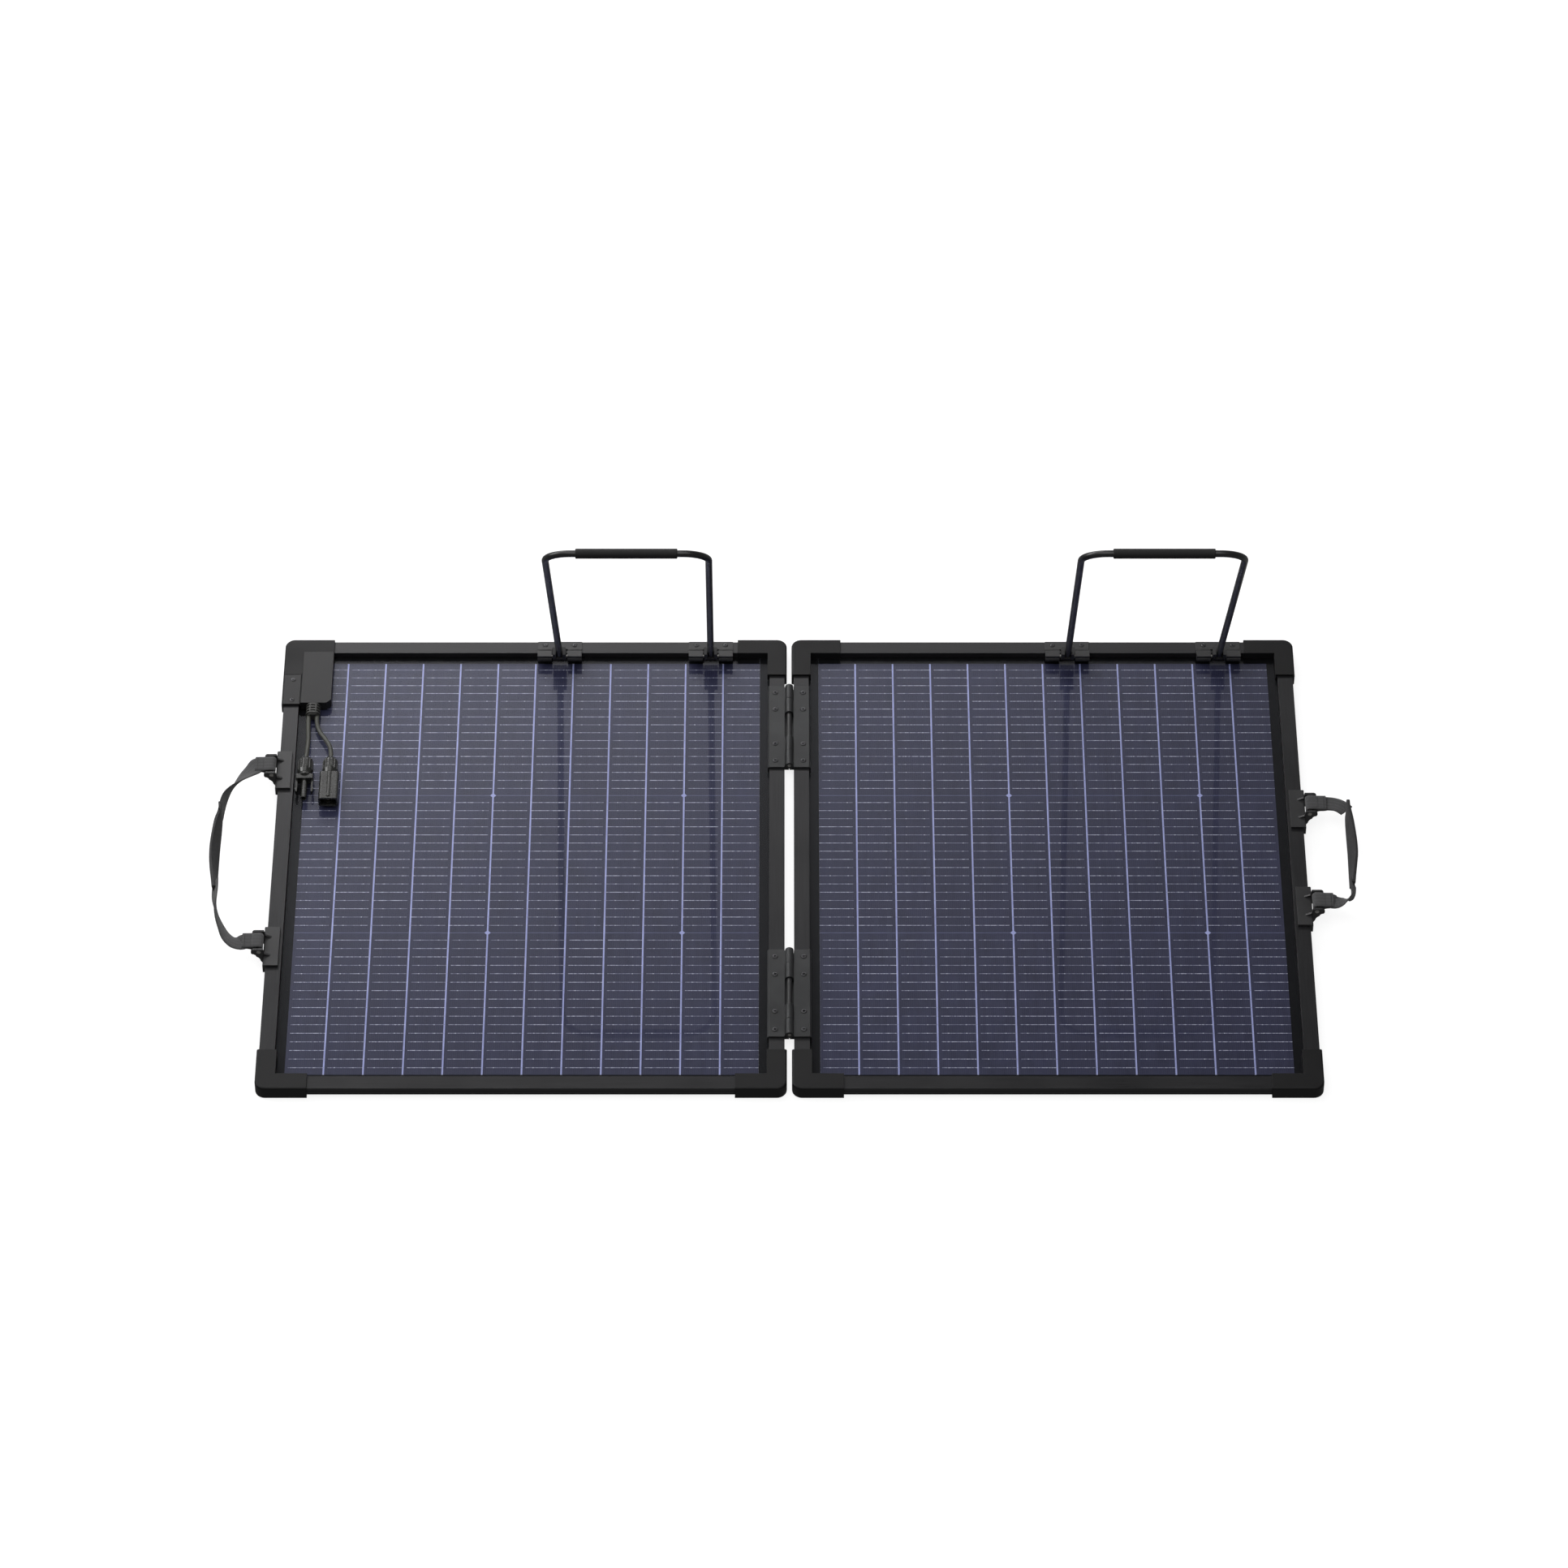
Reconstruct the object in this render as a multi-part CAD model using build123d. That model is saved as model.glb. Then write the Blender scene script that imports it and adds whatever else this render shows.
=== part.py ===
from build123d import *
import math
import os

# Two-panel folding solar suitcase, lying open with its back (bifacial) side up.
# +X is to the right, +Y towards the kickstand edge, +Z up.  The origin is on the
# ground, under the middle of the whole object.  All sizes are in millimetres.

# ---- driving dimensions -------------------------------------------------------
CELL_W = 36.4            # one cell strip: a 182 mm wafer cut in five
CELL_L = 182.0
CELL_GAP = 1.6
STRIPS = 12              # cell strips side by side
ROWS = 3                 # rows of strips
RAIL_W = 15.2            # frame rail, seen from above
RAIL_H = 10.0
BORDER_X = 9.9           # black margin between cells and rail
BORDER_Y = 8.2
PANEL_GAP = 9.2          # between the two frames
CAP_WALL = 2.2
CAP_ARM = 49.8
CAP_ROUND = 10.0
CAP_FLANGE = 2.0
CORNER_CUT = 6.0         # frame corners are cut back under the round caps

PANEL_W = STRIPS * CELL_W + (STRIPS - 1) * CELL_GAP + 2 * (BORDER_X + RAIL_W)
PANEL_D = ROWS * CELL_L + (ROWS - 1) * CELL_GAP + 2 * (BORDER_Y + RAIL_W)

RAIL_Z = CAP_WALL                    # the frame stands on the caps' floors
RAIL_TOP = RAIL_Z + RAIL_H
GLASS_LOW = RAIL_Z + 1.0             # sun-side face of the laminate
GLASS_TOP = RAIL_TOP - 6.0           # back face of the laminate
CELL_LOW = GLASS_LOW + 1.4
CELL_HIGH = CELL_LOW + 0.4
SLOT_END = 3.2                       # how far the laminate slot reaches out
SEAL_W = 0.8
CAP_TOP = RAIL_TOP + CAP_WALL

FOLD_Z = RAIL_TOP + 2.6              # hinge pin height
HINGE_X = 5.5                        # the two handles differ, so the fold is off centre
LEAF_T = 2.0
LEAF_L = 112.0
LEAF_FLANGE = 1.6
LEAF_BEVEL = 1.5
LIP_T = 0.3                          # leaf's lip down the rail's face, inside the gap
SHELF_LOW = 3.4                      # underside of the shelf below the barrel, from the rail's top
SHELF_T = 1.5
SHELF_GAP = 0.25                     # from the fold line to each shelf
BARREL_R = 4.1
PIN_R = 1.6
SLEEVE_R = 2.5                       # sleeve on the pin between the two knuckle pairs
PIN_FIT = 0.05                       # radial running clearance on every pin
KNUCKLE_L = 19.0
KNUCKLE_GAP = 0.4
KNUCKLE_PAIR = 35.9                  # from a hinge's middle to the middle of a knuckle pair
HINGE_YS = (-178.0, 178.0)
HINGE_SCREWS = (-47.0, -23.8, 23.8, 47.0)
HINGE_SCREW_IN = 9.4

LEG_SPACING = 153.2                  # between the two rods of one kickstand, at the pivots
LEG_TOP_SPACING = 157.4              # the same at the crossbar: the rods lean outward
LEG_XS = {-1: -156.0, 1: 358.7}      # middle of each kickstand, from the fold line
LEG_PIVOT_IN = 22.8                  # pivot, inward from the back rail's outer face
LEG_PIVOT_Z = 15.6
LEG_LENGTH = 392.0
LEG_ROD_R = 3.35
LEG_CORNER_R = 25.0
LEG_ANGLE = 60.2                     # opened this far from flat
LEG_PIN_R = 1.5
GRIP_R = 4.85
GRIP_L = 97.6
WING_W = 14.4
WING_SLOT = 15.8
LEG_KNUCKLE_W = 13.5
LEG_KNUCKLE_L = 21.0
LEG_BEND_R = 900.0                   # where a rod starts to lean, just past its knuckle

HANDLE_SPAN = {-1: 236.0, 1: 130.0}  # between each handle's two brackets
HANDLE_REACH = {-1: 63.0, 1: 52.0}   # how far the webbing stands out from the rail
HANDLE_GRIP_L = {-1: 115.0, 1: 100.0}
GRIP_Z = 24.5
BRACKET_L = 50.0
BRACKET_T = 2.6
ARM_T = 2.2
BAR_OUT = 6.4                        # crossbar, outward from the rail
BAR_Z = 20.3
BAR_R = 2.1
WEB_W = 20.0
WEB_CLEAR = 0.9                      # webbing to bracket arm
LOOP_R = 3.8                         # outside of the webbing round the crossbar
TAIL_L = 14.0

BOX_IN = RAIL_W + CAP_FLANGE         # junction box, from the rail's outer faces
BOX_X = 47.6
BOX_Y = 88.8
BOX_TOP = 16.2
BOX_WALL = 1.8
LID_T = 1.6
GLAND_X = 30.1
GLAND_L = 16.0
GLAND_W = 14.6
GLAND_H = 10.6
GLAND_NECK_R = 2.4
LEAD_R = 2.3
LEAD_APART = 8.2
LEAD_IN = 7.0                        # how deep each lead sits in the gland
CONNECTOR_Z = GLASS_TOP + 8.0
PIN_SIDE_X = 26.4
SOCKET_SIDE_X = 51.1
NUT_R = 7.9
NUT_L = 22.0
NUT_Y = 165.0                        # start of the connectors, from the back rail

TOP_SCREW_R = 2.6


# ---- small helpers ------------------------------------------------------------
def block(x0, x1, y0, y1, z0, z1):
    """Box between two corners, given in any order."""
    size = (abs(x1 - x0), abs(y1 - y0), abs(z1 - z0))
    middle = ((x0 + x1) / 2, (y0 + y1) / 2, (z0 + z1) / 2)
    return Pos(*middle) * Box(*size)


def plate(points, z0, z1):
    """Prism over a plan outline."""
    return extrude(Pos(0, 0, z0) * make_face(Polyline(*points, close=True)), z1 - z0)


def rod(start, direction, radius, length):
    """Cylinder from a point along a direction."""
    return Plane(origin=start, z_dir=direction) * Cylinder(
        radius, length, align=(Align.CENTER, Align.CENTER, Align.MIN))


def profile_along(points, origin, inward, length):
    """Prism of a side profile: first value runs inward, second runs up."""
    inward = Vector(*inward)
    plane = Plane(origin=origin, x_dir=inward, z_dir=inward.cross(Vector(0, 0, 1)))
    outline = make_face(Polyline(*points, close=True))
    return extrude(plane * outline, length / 2, both=True)


def export(node, *solids):
    """Write one sub-part, as separate solids, to parts/NODE.step."""
    loose = []
    for solid in solids:
        loose.extend(solid.solids())
    shape = loose[0] if len(loose) == 1 else Compound(children=loose)
    shape.label = node
    export_step(shape, f"parts/{node}.step")


def across(side, distance):
    """X of a point so far from the panel's gap-side face."""
    return HINGE_X + side * (PANEL_GAP / 2 + distance)


def outer_face(side):
    """X of the panel's outer side face."""
    return across(side, PANEL_W)


# ---- frame rails --------------------------------------------------------------
def rail_profile():
    outside = [(0, RAIL_TOP), (0, 9.3), (0.9, 9.0), (0.9, 8.5), (0, 6.8), (0, 3.2), (1.0, RAIL_Z)]
    lip = [(10.0, RAIL_Z), (10.0, GLASS_LOW), (SLOT_END, GLASS_LOW)]
    inside = [(SLOT_END, GLASS_TOP), (RAIL_W, GLASS_TOP), (RAIL_W, RAIL_TOP)]
    return outside + lip + inside


def rail(origin, inward, length):
    """One mitred hollow rail, its outer face at the origin, running both ways."""
    body = profile_along(rail_profile(), origin, inward, length)
    hollow = [(1.8, 7.5), (13.9, 7.5), (13.9, 10.9), (1.8, 10.9)]
    body -= profile_along(hollow, origin, inward, length + 2)
    half = length / 2 - 0.05
    deep = RAIL_W + 1
    cut = CORNER_CUT
    plan = [(-half + cut + 1, -1), (half - cut - 1, -1), (half - cut / 2, cut / 2),
            (half - deep, deep), (-half + deep, deep), (-half + cut / 2, cut / 2)]
    along = Vector(*inward).cross(Vector(0, 0, 1))
    mitre = Plane(origin=(origin[0], origin[1], -1), x_dir=along, z_dir=(0, 0, 1))
    return body & (mitre * plate(plan, 0, RAIL_TOP + 4))


def build_rails(side, name):
    middle = across(side, PANEL_W / 2)
    export(f"{name}_rail_back", rail((middle, PANEL_D / 2, 0), (0, -1, 0), PANEL_W))
    export(f"{name}_rail_front", rail((middle, -PANEL_D / 2, 0), (0, 1, 0), PANEL_W))
    export(f"{name}_rail_inner", rail((across(side, 0), 0, 0), (side, 0, 0), PANEL_D))
    export(f"{name}_rail_outer", rail((outer_face(side), 0, 0), (-side, 0, 0), PANEL_D))


# ---- corner caps --------------------------------------------------------------
def corner_cap():
    """Cap for the corner at the origin, its arms along +X and +Y."""
    wall = CAP_WALL
    end = CAP_ARM - wall
    inner = RAIL_W + CAP_FLANGE
    plan = [(-wall, -wall), (end, -wall), (end, inner), (inner, inner), (inner, end), (-wall, end)]
    cap = plate(plan, 0, CAP_TOP)
    corner = cap.edges().filter_by(Axis.Z).sort_by_distance((-wall, -wall, CAP_TOP / 2))[0]
    cap = fillet(corner, CAP_ROUND)
    rim = [edge for edge in cap.faces().sort_by(Axis.Z)[-1].edges()
           if min(edge.center().X, edge.center().Y) < -wall + 4.0]
    cap = fillet(rim, 1.9)
    foot = [edge for edge in cap.faces().sort_by(Axis.Z)[0].edges()
            if min(edge.center().X, edge.center().Y) < -wall + 4.0]
    cap = fillet(foot, 1.2)
    far = CAP_ARM + 5
    cut = CORNER_CUT
    space = [(cut, 0), (far, 0), (far, RAIL_W), (RAIL_W, RAIL_W), (RAIL_W, far), (0, far), (0, cut)]
    cap -= plate(space, RAIL_Z, RAIL_TOP)
    floor = 11.0
    below = [(floor, floor), (far, floor), (far, far), (floor, far)]
    cap -= plate(below, -1, GLASS_TOP)
    return cap


def build_caps():
    cap = corner_cap()
    for side, name in ((-1, "left"), (1, "right")):
        edges = (across(side, 0), outer_face(side))
        low, high = min(edges), max(edges)
        placed = {
            (low, -1): Pos(low, -PANEL_D / 2, 0) * cap,
            (high, -1): Pos(high, -PANEL_D / 2, 0) * Rot(0, 0, 90) * cap,
            (high, 1): Pos(high, PANEL_D / 2, 0) * Rot(0, 0, 180) * cap,
            (low, 1): Pos(low, PANEL_D / 2, 0) * Rot(0, 0, 270) * cap,
        }
        if side < 0:
            export("corner_cap_junction_box", placed.pop((low, 1)))
        export(f"corner_caps_{name}", *placed.values())


# ---- laminate -----------------------------------------------------------------
def build_laminate(side, name):
    inset = SLOT_END + SEAL_W
    x0 = across(side, inset)
    x1 = across(side, PANEL_W - inset)
    y = PANEL_D / 2 - inset
    export(f"{name}_front_glass", block(x0, x1, -y, y, GLASS_LOW, CELL_LOW))
    export(f"{name}_cell_layer", block(x0, x1, -y, y, CELL_LOW, CELL_HIGH))
    export(f"{name}_back_glass", block(x0, x1, -y, y, CELL_HIGH, GLASS_TOP))
    s0 = across(side, SLOT_END)
    s1 = across(side, PANEL_W - SLOT_END)
    seal = block(s0, s1, -y - SEAL_W, y + SEAL_W, GLASS_LOW, GLASS_TOP)
    seal -= block(x0, x1, -y, y, GLASS_LOW - 1, GLASS_TOP + 1)
    export(f"{name}_edge_seal", seal)


# ---- hinges -------------------------------------------------------------------
def screw(x, y, z, radius=TOP_SCREW_R, height=0.5):
    """Countersunk cross-head screw whose head stands a little proud."""
    head = Pos(x, y, z) * Cone(radius, radius - 0.5, height,
                               align=(Align.CENTER, Align.CENTER, Align.MIN))
    recess = Pos(x, y, z + height) * Cylinder(0.75, 0.7)
    return head - recess


def knuckle_spans(middle, leaf_side):
    """Y spans of the barrels that one leaf carries: upper on the left, lower on the right."""
    spans = []
    for pair in (-1, 1):
        centre = middle + pair * KNUCKLE_PAIR
        if leaf_side < 0:
            spans.append((centre + KNUCKLE_GAP / 2, centre + KNUCKLE_L))
        else:
            spans.append((centre - KNUCKLE_L, centre - KNUCKLE_GAP / 2))
    return spans


def hinge_leaf(side, middle):
    low = middle - LEAF_L / 2
    high = middle + LEAF_L / 2
    inner_edge = across(side, RAIL_W + LEAF_FLANGE)
    leaf = block(across(side, 0), inner_edge, low, high, RAIL_TOP, RAIL_TOP + LEAF_T)
    edge = leaf.edges().filter_by(Axis.Y).sort_by_distance((inner_edge, middle, RAIL_TOP + LEAF_T))[0]
    leaf = chamfer(edge, LEAF_BEVEL)
    leaf += block(across(side, RAIL_W), inner_edge, low, high, GLASS_TOP + 0.6, RAIL_TOP)
    reach = KNUCKLE_PAIR + KNUCKLE_L
    face = across(side, 0)
    leaf += block(face, face - side * LIP_T, middle - reach, middle + reach, RAIL_TOP - SHELF_LOW,
                  RAIL_TOP + LEAF_T)
    leaf += block(face, HINGE_X + side * SHELF_GAP, middle - reach, middle + reach, RAIL_TOP - SHELF_LOW,
                  RAIL_TOP - SHELF_LOW + SHELF_T)
    for start, stop in knuckle_spans(middle, side):
        web = block(HINGE_X + side * 1.5, across(side, 0), start, stop, RAIL_TOP, RAIL_TOP + LEAF_T)
        barrel = rod((HINGE_X, start, FOLD_Z), (0, 1, 0), BARREL_R, stop - start)
        leaf += web + barrel
    for start, stop in knuckle_spans(middle, side):
        leaf -= rod((HINGE_X, start - 1, FOLD_Z), (0, 1, 0), PIN_R + PIN_FIT, stop - start + 2)
    return leaf


def build_hinges():
    for side, name in ((-1, "left"), (1, "right")):
        export(f"hinge_leaves_{name}", *[hinge_leaf(side, y) for y in HINGE_YS])
        screws = [screw(across(side, HINGE_SCREW_IN), y + step, RAIL_TOP + LEAF_T)
                  for y in HINGE_YS for step in HINGE_SCREWS]
        export(f"hinge_screws_{name}", *screws)
    pin_l = 2 * (KNUCKLE_PAIR + KNUCKLE_L)
    pins = [rod((HINGE_X, y - pin_l / 2, FOLD_Z), (0, 1, 0), PIN_R, pin_l) for y in HINGE_YS]
    export("hinge_pins", *pins)
    sleeve_l = 2 * (KNUCKLE_PAIR - KNUCKLE_L) - 1.0
    sleeves = []
    for y in HINGE_YS:
        tube = rod((HINGE_X, y - sleeve_l / 2, FOLD_Z), (0, 1, 0), SLEEVE_R, sleeve_l)
        tube -= rod((HINGE_X, y - sleeve_l / 2 - 1, FOLD_Z), (0, 1, 0), PIN_R, sleeve_l + 2)
        sleeves.append(tube)
    export("hinge_pin_sleeves", *sleeves)


# ---- kickstands ---------------------------------------------------------------
def leg_bracket(x):
    """Bracket on the back rail: a screwed strip and two wings with a slot between."""
    back = PANEL_D / 2
    half = WING_SLOT / 2 + WING_W
    low = RAIL_TOP
    strip = block(x - half, x + half, back - 0.4, back - 10.9, low, low + 1.2)
    side = [(10.4, low), (10.4, low + 1.2), (10.9, low + 1.2), (18.9, 19.1), (26.6, 19.1),
            (26.6, 16.9), (25.9, 16.4), (25.9, 15.4), (26.6, 14.9), (26.6, low)]
    for sign in (-1, 1):
        centre = x + sign * (WING_SLOT + WING_W) / 2
        strip += profile_along(side, (centre, back, 0), (0, -1, 0), WING_W)
    pin = rod((x - half - 1, back - LEG_PIVOT_IN, LEG_PIVOT_Z), (1, 0, 0), LEG_PIN_R, 2 * half + 2)
    return strip - pin


def leg_frame(x):
    """Plane at a pivot: its X runs along +X, its Y out along the opened leg."""
    tilt = math.radians(LEG_ANGLE)
    along = Vector(0, -math.cos(tilt), math.sin(tilt))
    origin = (x, PANEL_D / 2 - LEG_PIVOT_IN, LEG_PIVOT_Z)
    return Plane(origin=origin, x_dir=(1, 0, 0), z_dir=Vector(1, 0, 0).cross(along))


def leg_knuckle():
    """Channel that the rod lies in, open towards the glass, round at the pivot."""
    w = LEG_KNUCKLE_W / 2
    body = block(-w, w, 0, LEG_KNUCKLE_L, -4.0, 4.0)
    body += Plane(origin=(-w, 0, 0), z_dir=(1, 0, 0)) * Cylinder(
        4.0, 2 * w, align=(Align.CENTER, Align.CENTER, Align.MIN))
    body -= rod((0, 5.5, 0), (0, 1, 0), LEG_ROD_R, 30)
    body -= block(-LEG_ROD_R, LEG_ROD_R, 5.5, 30, 0, 6)
    body -= rod((-w - 1, 0, 0), (1, 0, 0), LEG_PIN_R + PIN_FIT, 2 * w + 2)
    return body


def leg_rod():
    """U-shaped rod in the leg's own plane, its two ends in the knuckles."""
    foot = LEG_SPACING / 2
    top = LEG_TOP_SPACING / 2
    start = 5.5
    lean = LEG_KNUCKLE_L + 4
    path = FilletPolyline((-foot, start), (-foot, lean), (-top, LEG_LENGTH), (top, LEG_LENGTH),
                          (foot, lean), (foot, start),
                          radius=[LEG_BEND_R, LEG_CORNER_R, LEG_CORNER_R, LEG_BEND_R])
    section = Plane(origin=path @ 0, z_dir=path % 0) * Circle(LEG_ROD_R)
    return sweep(section, path=path)


def build_legs():
    for side, name in ((-1, "left"), (1, "right")):
        middle = HINGE_X + LEG_XS[side]
        roots = [middle - LEG_SPACING / 2, middle + LEG_SPACING / 2]
        back = PANEL_D / 2
        export(f"leg_brackets_{name}", *[leg_bracket(x) for x in roots])
        screws = [screw(x + sign * 14.75, back - 5.4, RAIL_TOP + 1.2, 2.2)
                  for x in roots for sign in (-1, 1)]
        export(f"leg_bracket_screws_{name}", *screws)
        pin_l = WING_SLOT + 2 * WING_W - 0.8
        pins = [rod((x - pin_l / 2, back - LEG_PIVOT_IN, LEG_PIVOT_Z), (1, 0, 0), LEG_PIN_R, pin_l)
                for x in roots]
        export(f"leg_pivot_pins_{name}", *pins)
        export(f"leg_knuckles_{name}", *[leg_frame(x) * leg_knuckle() for x in roots])
        frame = leg_frame(middle)
        export(f"leg_rod_{name}", frame * leg_rod())
        grip = rod((-GRIP_L / 2, LEG_LENGTH, 0), (1, 0, 0), GRIP_R, GRIP_L)
        grip -= rod((-GRIP_L / 2 - 1, LEG_LENGTH, 0), (1, 0, 0), LEG_ROD_R, GRIP_L + 2)
        grip = chamfer(grip.edges().filter_by(GeomType.CIRCLE).sort_by(SortBy.RADIUS)[-2:], 0.5)
        export(f"leg_grip_{name}", frame * grip)


# ---- handles ------------------------------------------------------------------
def handle_bracket(side, y):
    """L-shaped bracket over the rail's edge, with two scalloped arms that rise outward."""
    face = outer_face(side)
    low = y - BRACKET_L / 2
    corner = [(-BRACKET_T, 3.2), (0, 3.2), (0, RAIL_TOP), (12.4, RAIL_TOP),
              (12.4, RAIL_TOP + BRACKET_T), (-BRACKET_T + 0.8, RAIL_TOP + BRACKET_T),
              (-BRACKET_T, RAIL_TOP + BRACKET_T - 0.8)]
    body = profile_along(corner, (face, y, 0), (-side, 0, 0), BRACKET_L)
    feet = body.edges().filter_by(Axis.X).group_by(Axis.Z)[0]
    body = fillet(feet, 2.2)
    top = Polyline((-BRACKET_T, 4.4), (-1.0, 12.4), (4.4, 14.0), (4.4, 15.0), (-1.4, 17.6), (-2.4, 23.6),
                   (-11.6, 23.6))
    tip = ThreePointArc((-11.6, 23.6), (-14.0, 20.8), (-13.0, 17.4))
    scallops = (ThreePointArc((-13.0, 17.4), (-10.4, 16.4), (-9.0, 13.8))
                + ThreePointArc((-9.0, 13.8), (-6.4, 11.6), (-5.2, 8.4))
                + ThreePointArc((-5.2, 8.4), (-3.9, 6.0), (-BRACKET_T, 4.4)))
    arm = make_face(top + tip + scallops)
    for sign in (-1, 1):
        centre = y + sign * (WEB_W / 2 + WEB_CLEAR + ARM_T / 2)
        plane = Plane(origin=(face, centre, 0), x_dir=(-side, 0, 0), z_dir=(0, side, 0))
        body += extrude(plane * arm, ARM_T / 2, both=True)
    return body - rod((face + side * BAR_OUT, low, BAR_Z), (0, 1, 0), BAR_R, BRACKET_L)


def beam(start, stop, width, height):
    """Upright rectangular bar between two points."""
    start = Vector(*start)
    run = Vector(*stop) - start
    across_run = Vector(-run.Y, run.X, 0)
    plane = Plane(origin=start, x_dir=across_run, z_dir=run)
    return plane * Box(width, height, run.length, align=(Align.CENTER, Align.CENTER, Align.MIN))


def build_handles():
    for side, name in ((-1, "left"), (1, "right")):
        face = outer_face(side)
        half = HANDLE_SPAN[side] / 2
        bar_x = face + side * BAR_OUT
        bar_l = WEB_W + 2 * (WEB_CLEAR + ARM_T)
        export(f"handle_brackets_{name}", *[handle_bracket(side, y) for y in (-half, half)])
        bars = [rod((bar_x, y - bar_l / 2, BAR_Z), (0, 1, 0), BAR_R, bar_l) for y in (-half, half)]
        export(f"handle_crossbars_{name}", *bars)

        grip_x = face + side * (HANDLE_REACH[side] - 4.0)
        grip_half = HANDLE_GRIP_L[side] / 2
        grip = Pos(grip_x, 0, GRIP_Z) * Box(8.0, 2 * grip_half, 13.0)
        grip = fillet(grip.edges().filter_by(Axis.Y), 3.0)
        export(f"handle_grip_{name}", grip)
        straps = []
        for sign in (-1, 1):
            y = sign * half
            tail_x = bar_x + side * TAIL_L
            strap = block(bar_x, tail_x, y - WEB_W / 2, y + WEB_W / 2, BAR_Z - LOOP_R, BAR_Z + LOOP_R)
            strap += rod((bar_x, y - WEB_W / 2, BAR_Z), (0, 1, 0), LOOP_R, WEB_W)
            strap -= rod((bar_x, y - WEB_W, BAR_Z), (0, 1, 0), BAR_R + PIN_FIT, 2 * WEB_W)
            start = (tail_x - side * 3.0, y, BAR_Z)
            strap += beam(start, (grip_x, sign * (grip_half + 3.0), GRIP_Z), 6.0, 12.0)
            straps.append(strap - grip)
        export(f"handle_strap_{name}", *straps)


# ---- junction box -------------------------------------------------------------
def box_point(inward, back_in):
    """Point in plan, measured from the left panel's outer and back faces."""
    return (outer_face(-1) + inward, PANEL_D / 2 - back_in)


def junction_box_outline(grow=0.0):
    near = BOX_IN - grow + 0.1
    cut = 4.5
    far_x = BOX_X + grow
    far_y = BOX_Y + grow
    corners = [(near, near), (far_x, near), (far_x, far_y - cut), (far_x - cut, far_y), (near, far_y)]
    return [box_point(*corner) for corner in corners]


def build_junction_box():
    housing = plate(junction_box_outline(), GLASS_TOP, BOX_TOP - LID_T)
    housing -= plate(junction_box_outline(-BOX_WALL), GLASS_TOP + 1.2, BOX_TOP)
    gland_x, front_y = box_point(GLAND_X, BOX_Y)
    gland_z = GLASS_TOP + 5.8
    housing -= rod((gland_x, front_y + BOX_WALL + 1, gland_z), (0, -1, 0), GLAND_NECK_R, BOX_WALL + 3)
    export("junction_box_housing", housing)

    cap_end = CAP_ARM - CAP_WALL
    lid = plate(junction_box_outline(), BOX_TOP - LID_T, BOX_TOP)
    wing = [(-CAP_WALL, 2.0), (0, 2.0), (0, RAIL_TOP), (RAIL_W, RAIL_TOP), (BOX_IN + 0.1, RAIL_TOP),
            (BOX_IN + 0.1, BOX_TOP), (RAIL_W + 0.4, CAP_TOP), (-CAP_WALL + 1.5, CAP_TOP),
            (-CAP_WALL, CAP_TOP - 1.5)]
    wing_l = BOX_Y - cap_end - 0.4
    wing_y = PANEL_D / 2 - cap_end - 0.4 - wing_l / 2
    lid += profile_along(wing, (outer_face(-1), wing_y, 0), (1, 0, 0), wing_l)
    export("junction_box_lid", lid)
    screws = []
    for back_in in (55.0, 83.0):
        x, y = box_point(8.0, back_in)
        screws.append(screw(x, y, CAP_TOP, 2.2, 0.4))
    export("junction_box_screws", *screws)

    bars = []
    diodes = []
    for step in range(3):
        x, y = box_point(GLAND_X - 8.0 + 8.0 * step, 45.0)
        bars.append(block(x - 2.5, x + 2.5, y - 14.0, y + 14.0, GLASS_TOP + 1.2, GLASS_TOP + 2.0))
    for step in range(2):
        x, y = box_point(GLAND_X - 4.0 + 8.0 * step, 38.0)
        diodes.append(rod((x - 3.0, y, GLASS_TOP + 4.1), (1, 0, 0), 2.1, 6.0))
    export("junction_box_terminals", *bars)
    export("junction_box_diodes", *diodes)

    oval = Plane(origin=(gland_x, front_y, gland_z), x_dir=(1, 0, 0), z_dir=(0, -1, 0))
    gland = extrude(oval * SlotOverall(GLAND_W - 2.4, GLAND_H - 2.4), GLAND_L)
    for ring in range(4):
        gland += extrude(oval.offset(1.0 + 3.7 * ring) * SlotOverall(GLAND_W, GLAND_H), 2.2)
    for sign in (-1, 1):
        rib = oval.offset(1.0) * Pos(sign * 2.9, 0) * Rectangle(1.5, GLAND_H - 0.3)
        gland += extrude(rib, 13.2)
    gland += rod((gland_x, front_y + BOX_WALL + 3, gland_z), (0, -1, 0), GLAND_NECK_R, BOX_WALL + 4)
    for sign in (-1, 1):
        start = (gland_x + sign * LEAD_APART / 2, front_y - GLAND_L + LEAD_IN, gland_z)
        gland -= rod(start, (0, -1, 0), LEAD_R, LEAD_IN + 2)
    export("cable_gland", gland)


# ---- leads and connectors -----------------------------------------------------
# Points of each lead's route: x from the panel's outer face, y from the back
# rail's outer face, z from the glass.  The first is inside the gland.
LEAD_ROUTES = {
    "lead_pin_side": [(26.0, 97.8, 5.8), (26.0, 116.0, 5.8), (27.3, 134.0, 5.4), (27.0, 150.0, 7.4),
                      (26.4, 165.0, 8.0)],
    "lead_socket_side": [(34.2, 97.8, 5.8), (34.2, 111.6, 5.8), (37.4, 124.6, 5.1), (46.0, 138.4, 6.0),
                         (51.1, 151.6, 7.7), (51.1, 165.0, 8.0)],
}


def lead_points(name):
    return [(*box_point(x, y), GLASS_TOP + z) for x, y, z in LEAD_ROUTES[name]]


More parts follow.
